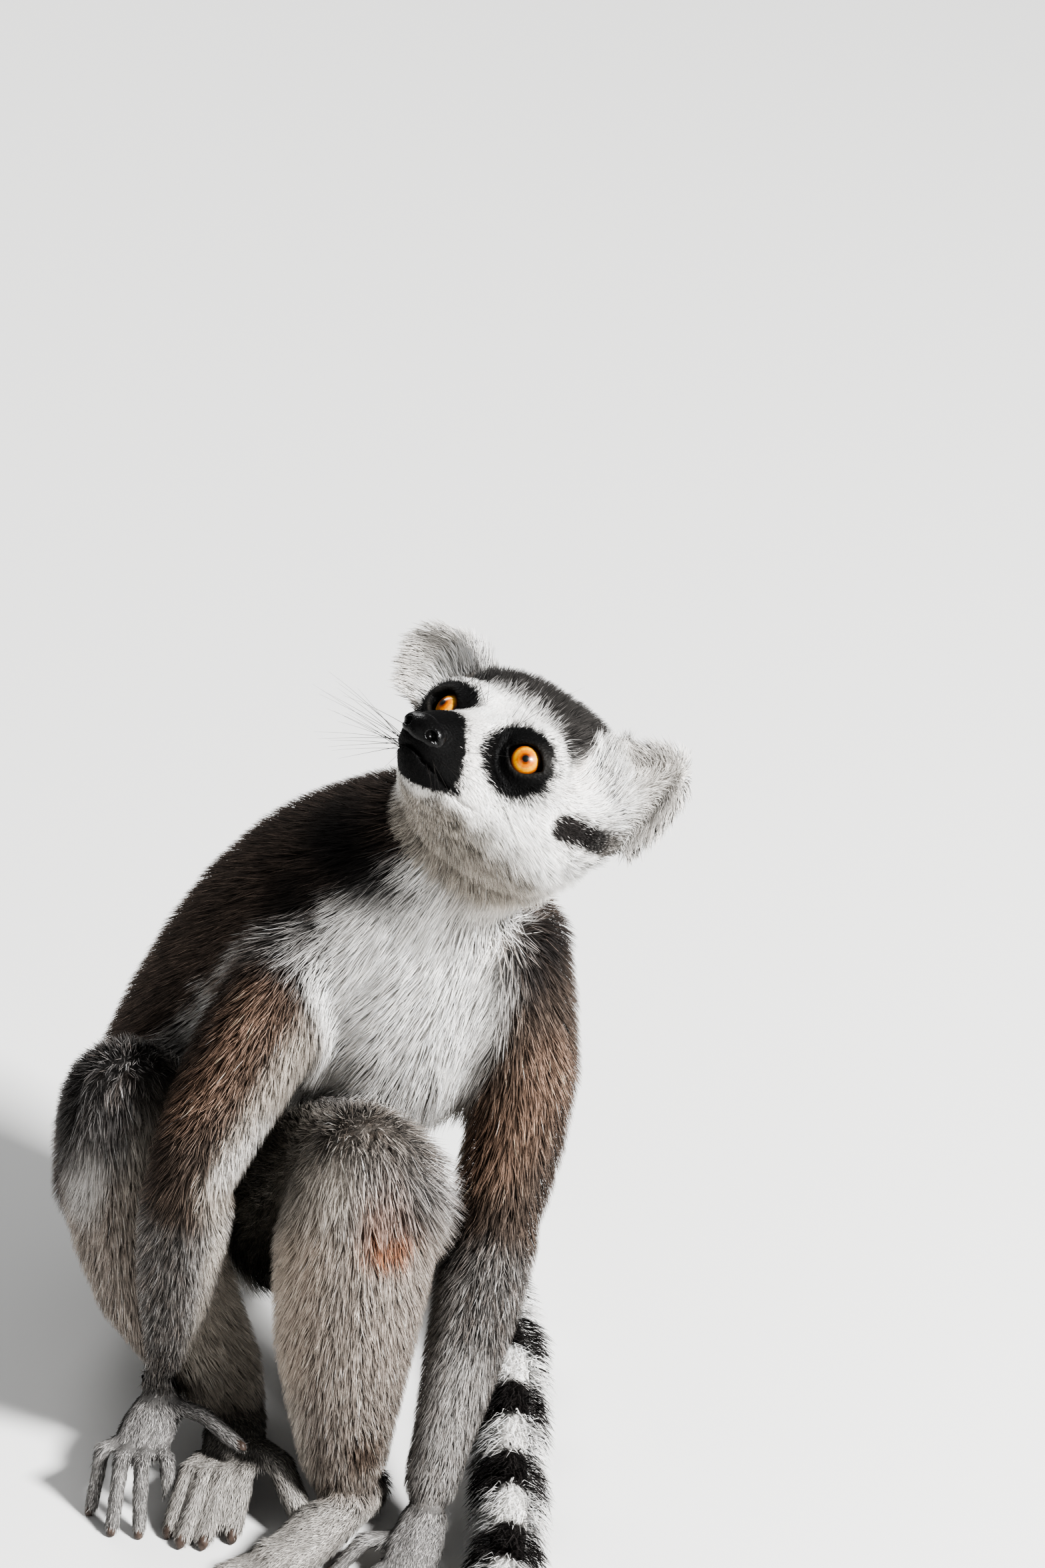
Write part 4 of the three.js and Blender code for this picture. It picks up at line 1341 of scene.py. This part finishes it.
def eyeball(sign):
    """Points, in the head's frame, and triangles of one eye, and the colour of each point."""
    centre, inward, up, ahead = eye_frame(sign)
    degrees = np.concatenate([np.arange(0.6, 42, 0.6), np.arange(42, 180, 4.0)])
    turn = np.arange(EYE_COLUMNS) * 2 * math.pi / EYE_COLUMNS
    angle = np.radians(degrees)[:, None, None]
    radius = EYE_RADIUS + CORNEA * rise_to(CORNEA_EDGE, 0, degrees)[:, None, None]
    around = np.cos(turn)[None, :, None] * inward + np.sin(turn)[None, :, None] * up
    rings = centre + radius * (np.cos(angle) * ahead + np.sin(angle) * around)
    points, faces = lofted(rings, centre + (EYE_RADIUS + CORNEA) * ahead, centre - EYE_RADIUS * ahead)
    colour = iris_colours(np.repeat(degrees, EYE_COLUMNS), np.tile(turn, len(degrees)))
    return points, faces, np.concatenate([colour, [PUPIL, BLACK]])


iris = eye_material()
for side, sign in SIDES.items():
    eye_points, eye_faces, eye_colour = eyeball(sign)
    eye = mesh_object(f"eyeball_{side}", from_head(eye_points), eye_faces)
    painted(eye, eye_colour)
    placed(eye, iris, "eye", f"eye_{side}")


NAIL_GRID = (9, 12)  # points along and round


def nail(line, radius):
    """A small curved nail on top of a digit's tip."""
    middle, end = line[-2:]
    ahead = unit(end - middle)
    across = unit(np.cross(ahead, [0, 0, 1]))
    up = np.cross(across, ahead)
    centre = end + ahead * radius * 0.45 + up * (radius - 1.0) * 0.55
    along = np.linspace(-0.96, 0.96, NAIL_GRID[0])[:, None, None]
    turn = (np.arange(NAIL_GRID[1]) * 2 * math.pi / NAIL_GRID[1])[None, :, None]
    around = 0.42 * np.cos(turn) * across + (0.17 * np.sin(turn) - 0.22 * np.cos(turn) ** 2) * up
    rings = centre + along * radius * 0.6 * ahead + np.sqrt(1 - along**2) * radius * around
    rings = rings - 0.3 * radius * np.clip(along, 0, 1) ** 2 * up
    first, last = (centre + sign * radius * 0.63 * ahead for sign in (-1, 1))
    return lofted(rings, first, last - 0.3 * radius * up)


horn = leather_material("horn", (0.075, 0.055, 0.045), 0.38, 500)
for name, paw in PAWS.items():
    nail_points, nail_faces = together([nail(line, radius) for line, radius in digits(paw)])
    nail_points[:, 2] = np.maximum(nail_points[:, 2], 0.3)
    placed(mesh_object(f"nails_{name}", nail_points, nail_faces), horn, "dark")

# Whiskers on the left side, in the head's frame: the middle of a group's roots, how far they scatter, which
# way the whiskers point, how many there are and how long they grow. The right side mirrors them.
WHISKERS = [
    ((8.5, -55, -8), (2.2, 3.5, 3.5), (0.92, -0.15, 0.05), 14, 46),
    ((7, -57, -12), (2.5, 2.5, 1.5), (0.75, -0.25, -0.55), 5, 30),
    ((9, -35, 20), (3, 1.5, 1.5), (0.35, -0.45, 0.65), 4, 26),
    ((22, -30, -9), (1.5, 1.5, 1.5), (0.5, 0.75, -0.35), 3, 30),
]
LONG = 40  # whiskers at least this long are FEWER on the left side, where the photo shows hardly any
FEWER = 4
WHISKER_RADIUS = 0.1
WHISKER_GRID = (9, 4)  # points along and round


def whisker(root, way, length, droop):
    """A long fine taper that bends down along its length."""
    share = np.linspace(0, 0.97, WHISKER_GRID[0])
    middle = root + length * (share[:, None] * way + share[:, None] ** 2 * droop)
    side = unit(np.cross(way, [0, 0, 1]))
    turn = np.arange(WHISKER_GRID[1]) * math.pi / 2
    around = np.cos(turn)[:, None] * side + np.sin(turn)[:, None] * np.cross(side, way)
    radius = WHISKER_RADIUS * (1 - 0.85 * share)
    return lofted(middle[:, None] + radius[:, None, None] * around, root, root + length * (way + droop))


def whiskers():
    """All the whiskers, in the head's frame."""
    forms = []
    for sign, (middle, scatter, way, count, length) in itertools.product(SIDES.values(), WHISKERS):
        for _ in range(count if sign < 0 or length < LONG else FEWER):
            root = np.array(middle) + np.array(scatter) * RNG.uniform(-1, 1, 3) - unit(way) * 3
            turn = unit(np.array(way) + RNG.normal(0, 0.16, 3))
            droop = np.array([0, 0.12, -0.1]) * RNG.uniform(0, 1)
            mirror = np.array([sign, 1, 1])
            forms.append(whisker(root * mirror, turn * mirror, length * RNG.uniform(0.6, 1), droop))
    return together(forms)


whisker_points, whisker_faces = whiskers()
whisker_points = kept_in(from_head(whisker_points).reshape(-1, math.prod(WHISKER_GRID) + 2, 3)).reshape(-1, 3)
vibrissae = mesh_object("whiskers", whisker_points, whisker_faces)
placed(vibrissae, leather_material("whisker", (0.03, 0.027, 0.025), 0.4, 900), "dark")


# ---------------------------------------------------------------- studio
LIGHTS = {  # place, size and power
    "key": ((1600, -1250, 1900), 450, 175),
    "fill": ((-1900, -1400, 900), 1600, 6),
    "rim": ((-600, 1700, 1500), 900, 16),
}
FLOOR_REACH = 3000
CAMERA_TARGET = at(50.3, 60, 248.8)
CAMERA_DISTANCE = 2200


def studio():
    """A pale floor, a soft light from the upper right, a weak fill, a light from behind, and the camera."""
    scene = bpy.context.scene
    corners = FLOOR_REACH * np.array([[-1.0, -1, 0], [1, -1, 0], [1, 1, 0], [-1, 1, 0]])
    floor = mesh_object("floor", corners, np.array([[0, 1, 2, 3]]))
    floor.data.materials.append(floor_material())
    for name, (place, size, power) in LIGHTS.items():
        light = bpy.data.objects.new(name, bpy.data.lights.new(name, "AREA"))
        light.data.size = size * MM
        light.data.energy = power
        light.location = np.array(place) * MM
        light.rotation_euler = (-light.location).to_track_quat("-Z", "Y").to_euler()
        scene.collection.objects.link(light)
    camera = bpy.data.objects.new("camera", bpy.data.cameras.new("camera"))
    camera.data.lens = 160
    camera.data.sensor_width = 36
    camera.data.clip_end = 50
    camera.location = (CAMERA_TARGET + CAMERA_DISTANCE * TO_CAMERA) * MM
    camera.rotation_euler = (math.pi / 2 - CAMERA_PITCH, 0, 0)
    scene.collection.objects.link(camera)
    scene.camera = camera
    scene.world = bpy.data.worlds.new("studio")
    scene.world.use_nodes = True
    background = scene.world.node_tree.nodes["Background"]
    background.inputs["Color"].default_value = (0.86, 0.88, 0.9, 1)
    background.inputs["Strength"].default_value = 0.22
    scene.view_settings.view_transform = "AgX"
    scene.view_settings.look = "AgX - High Contrast"
    scene.view_settings.exposure = 0.02


studio()
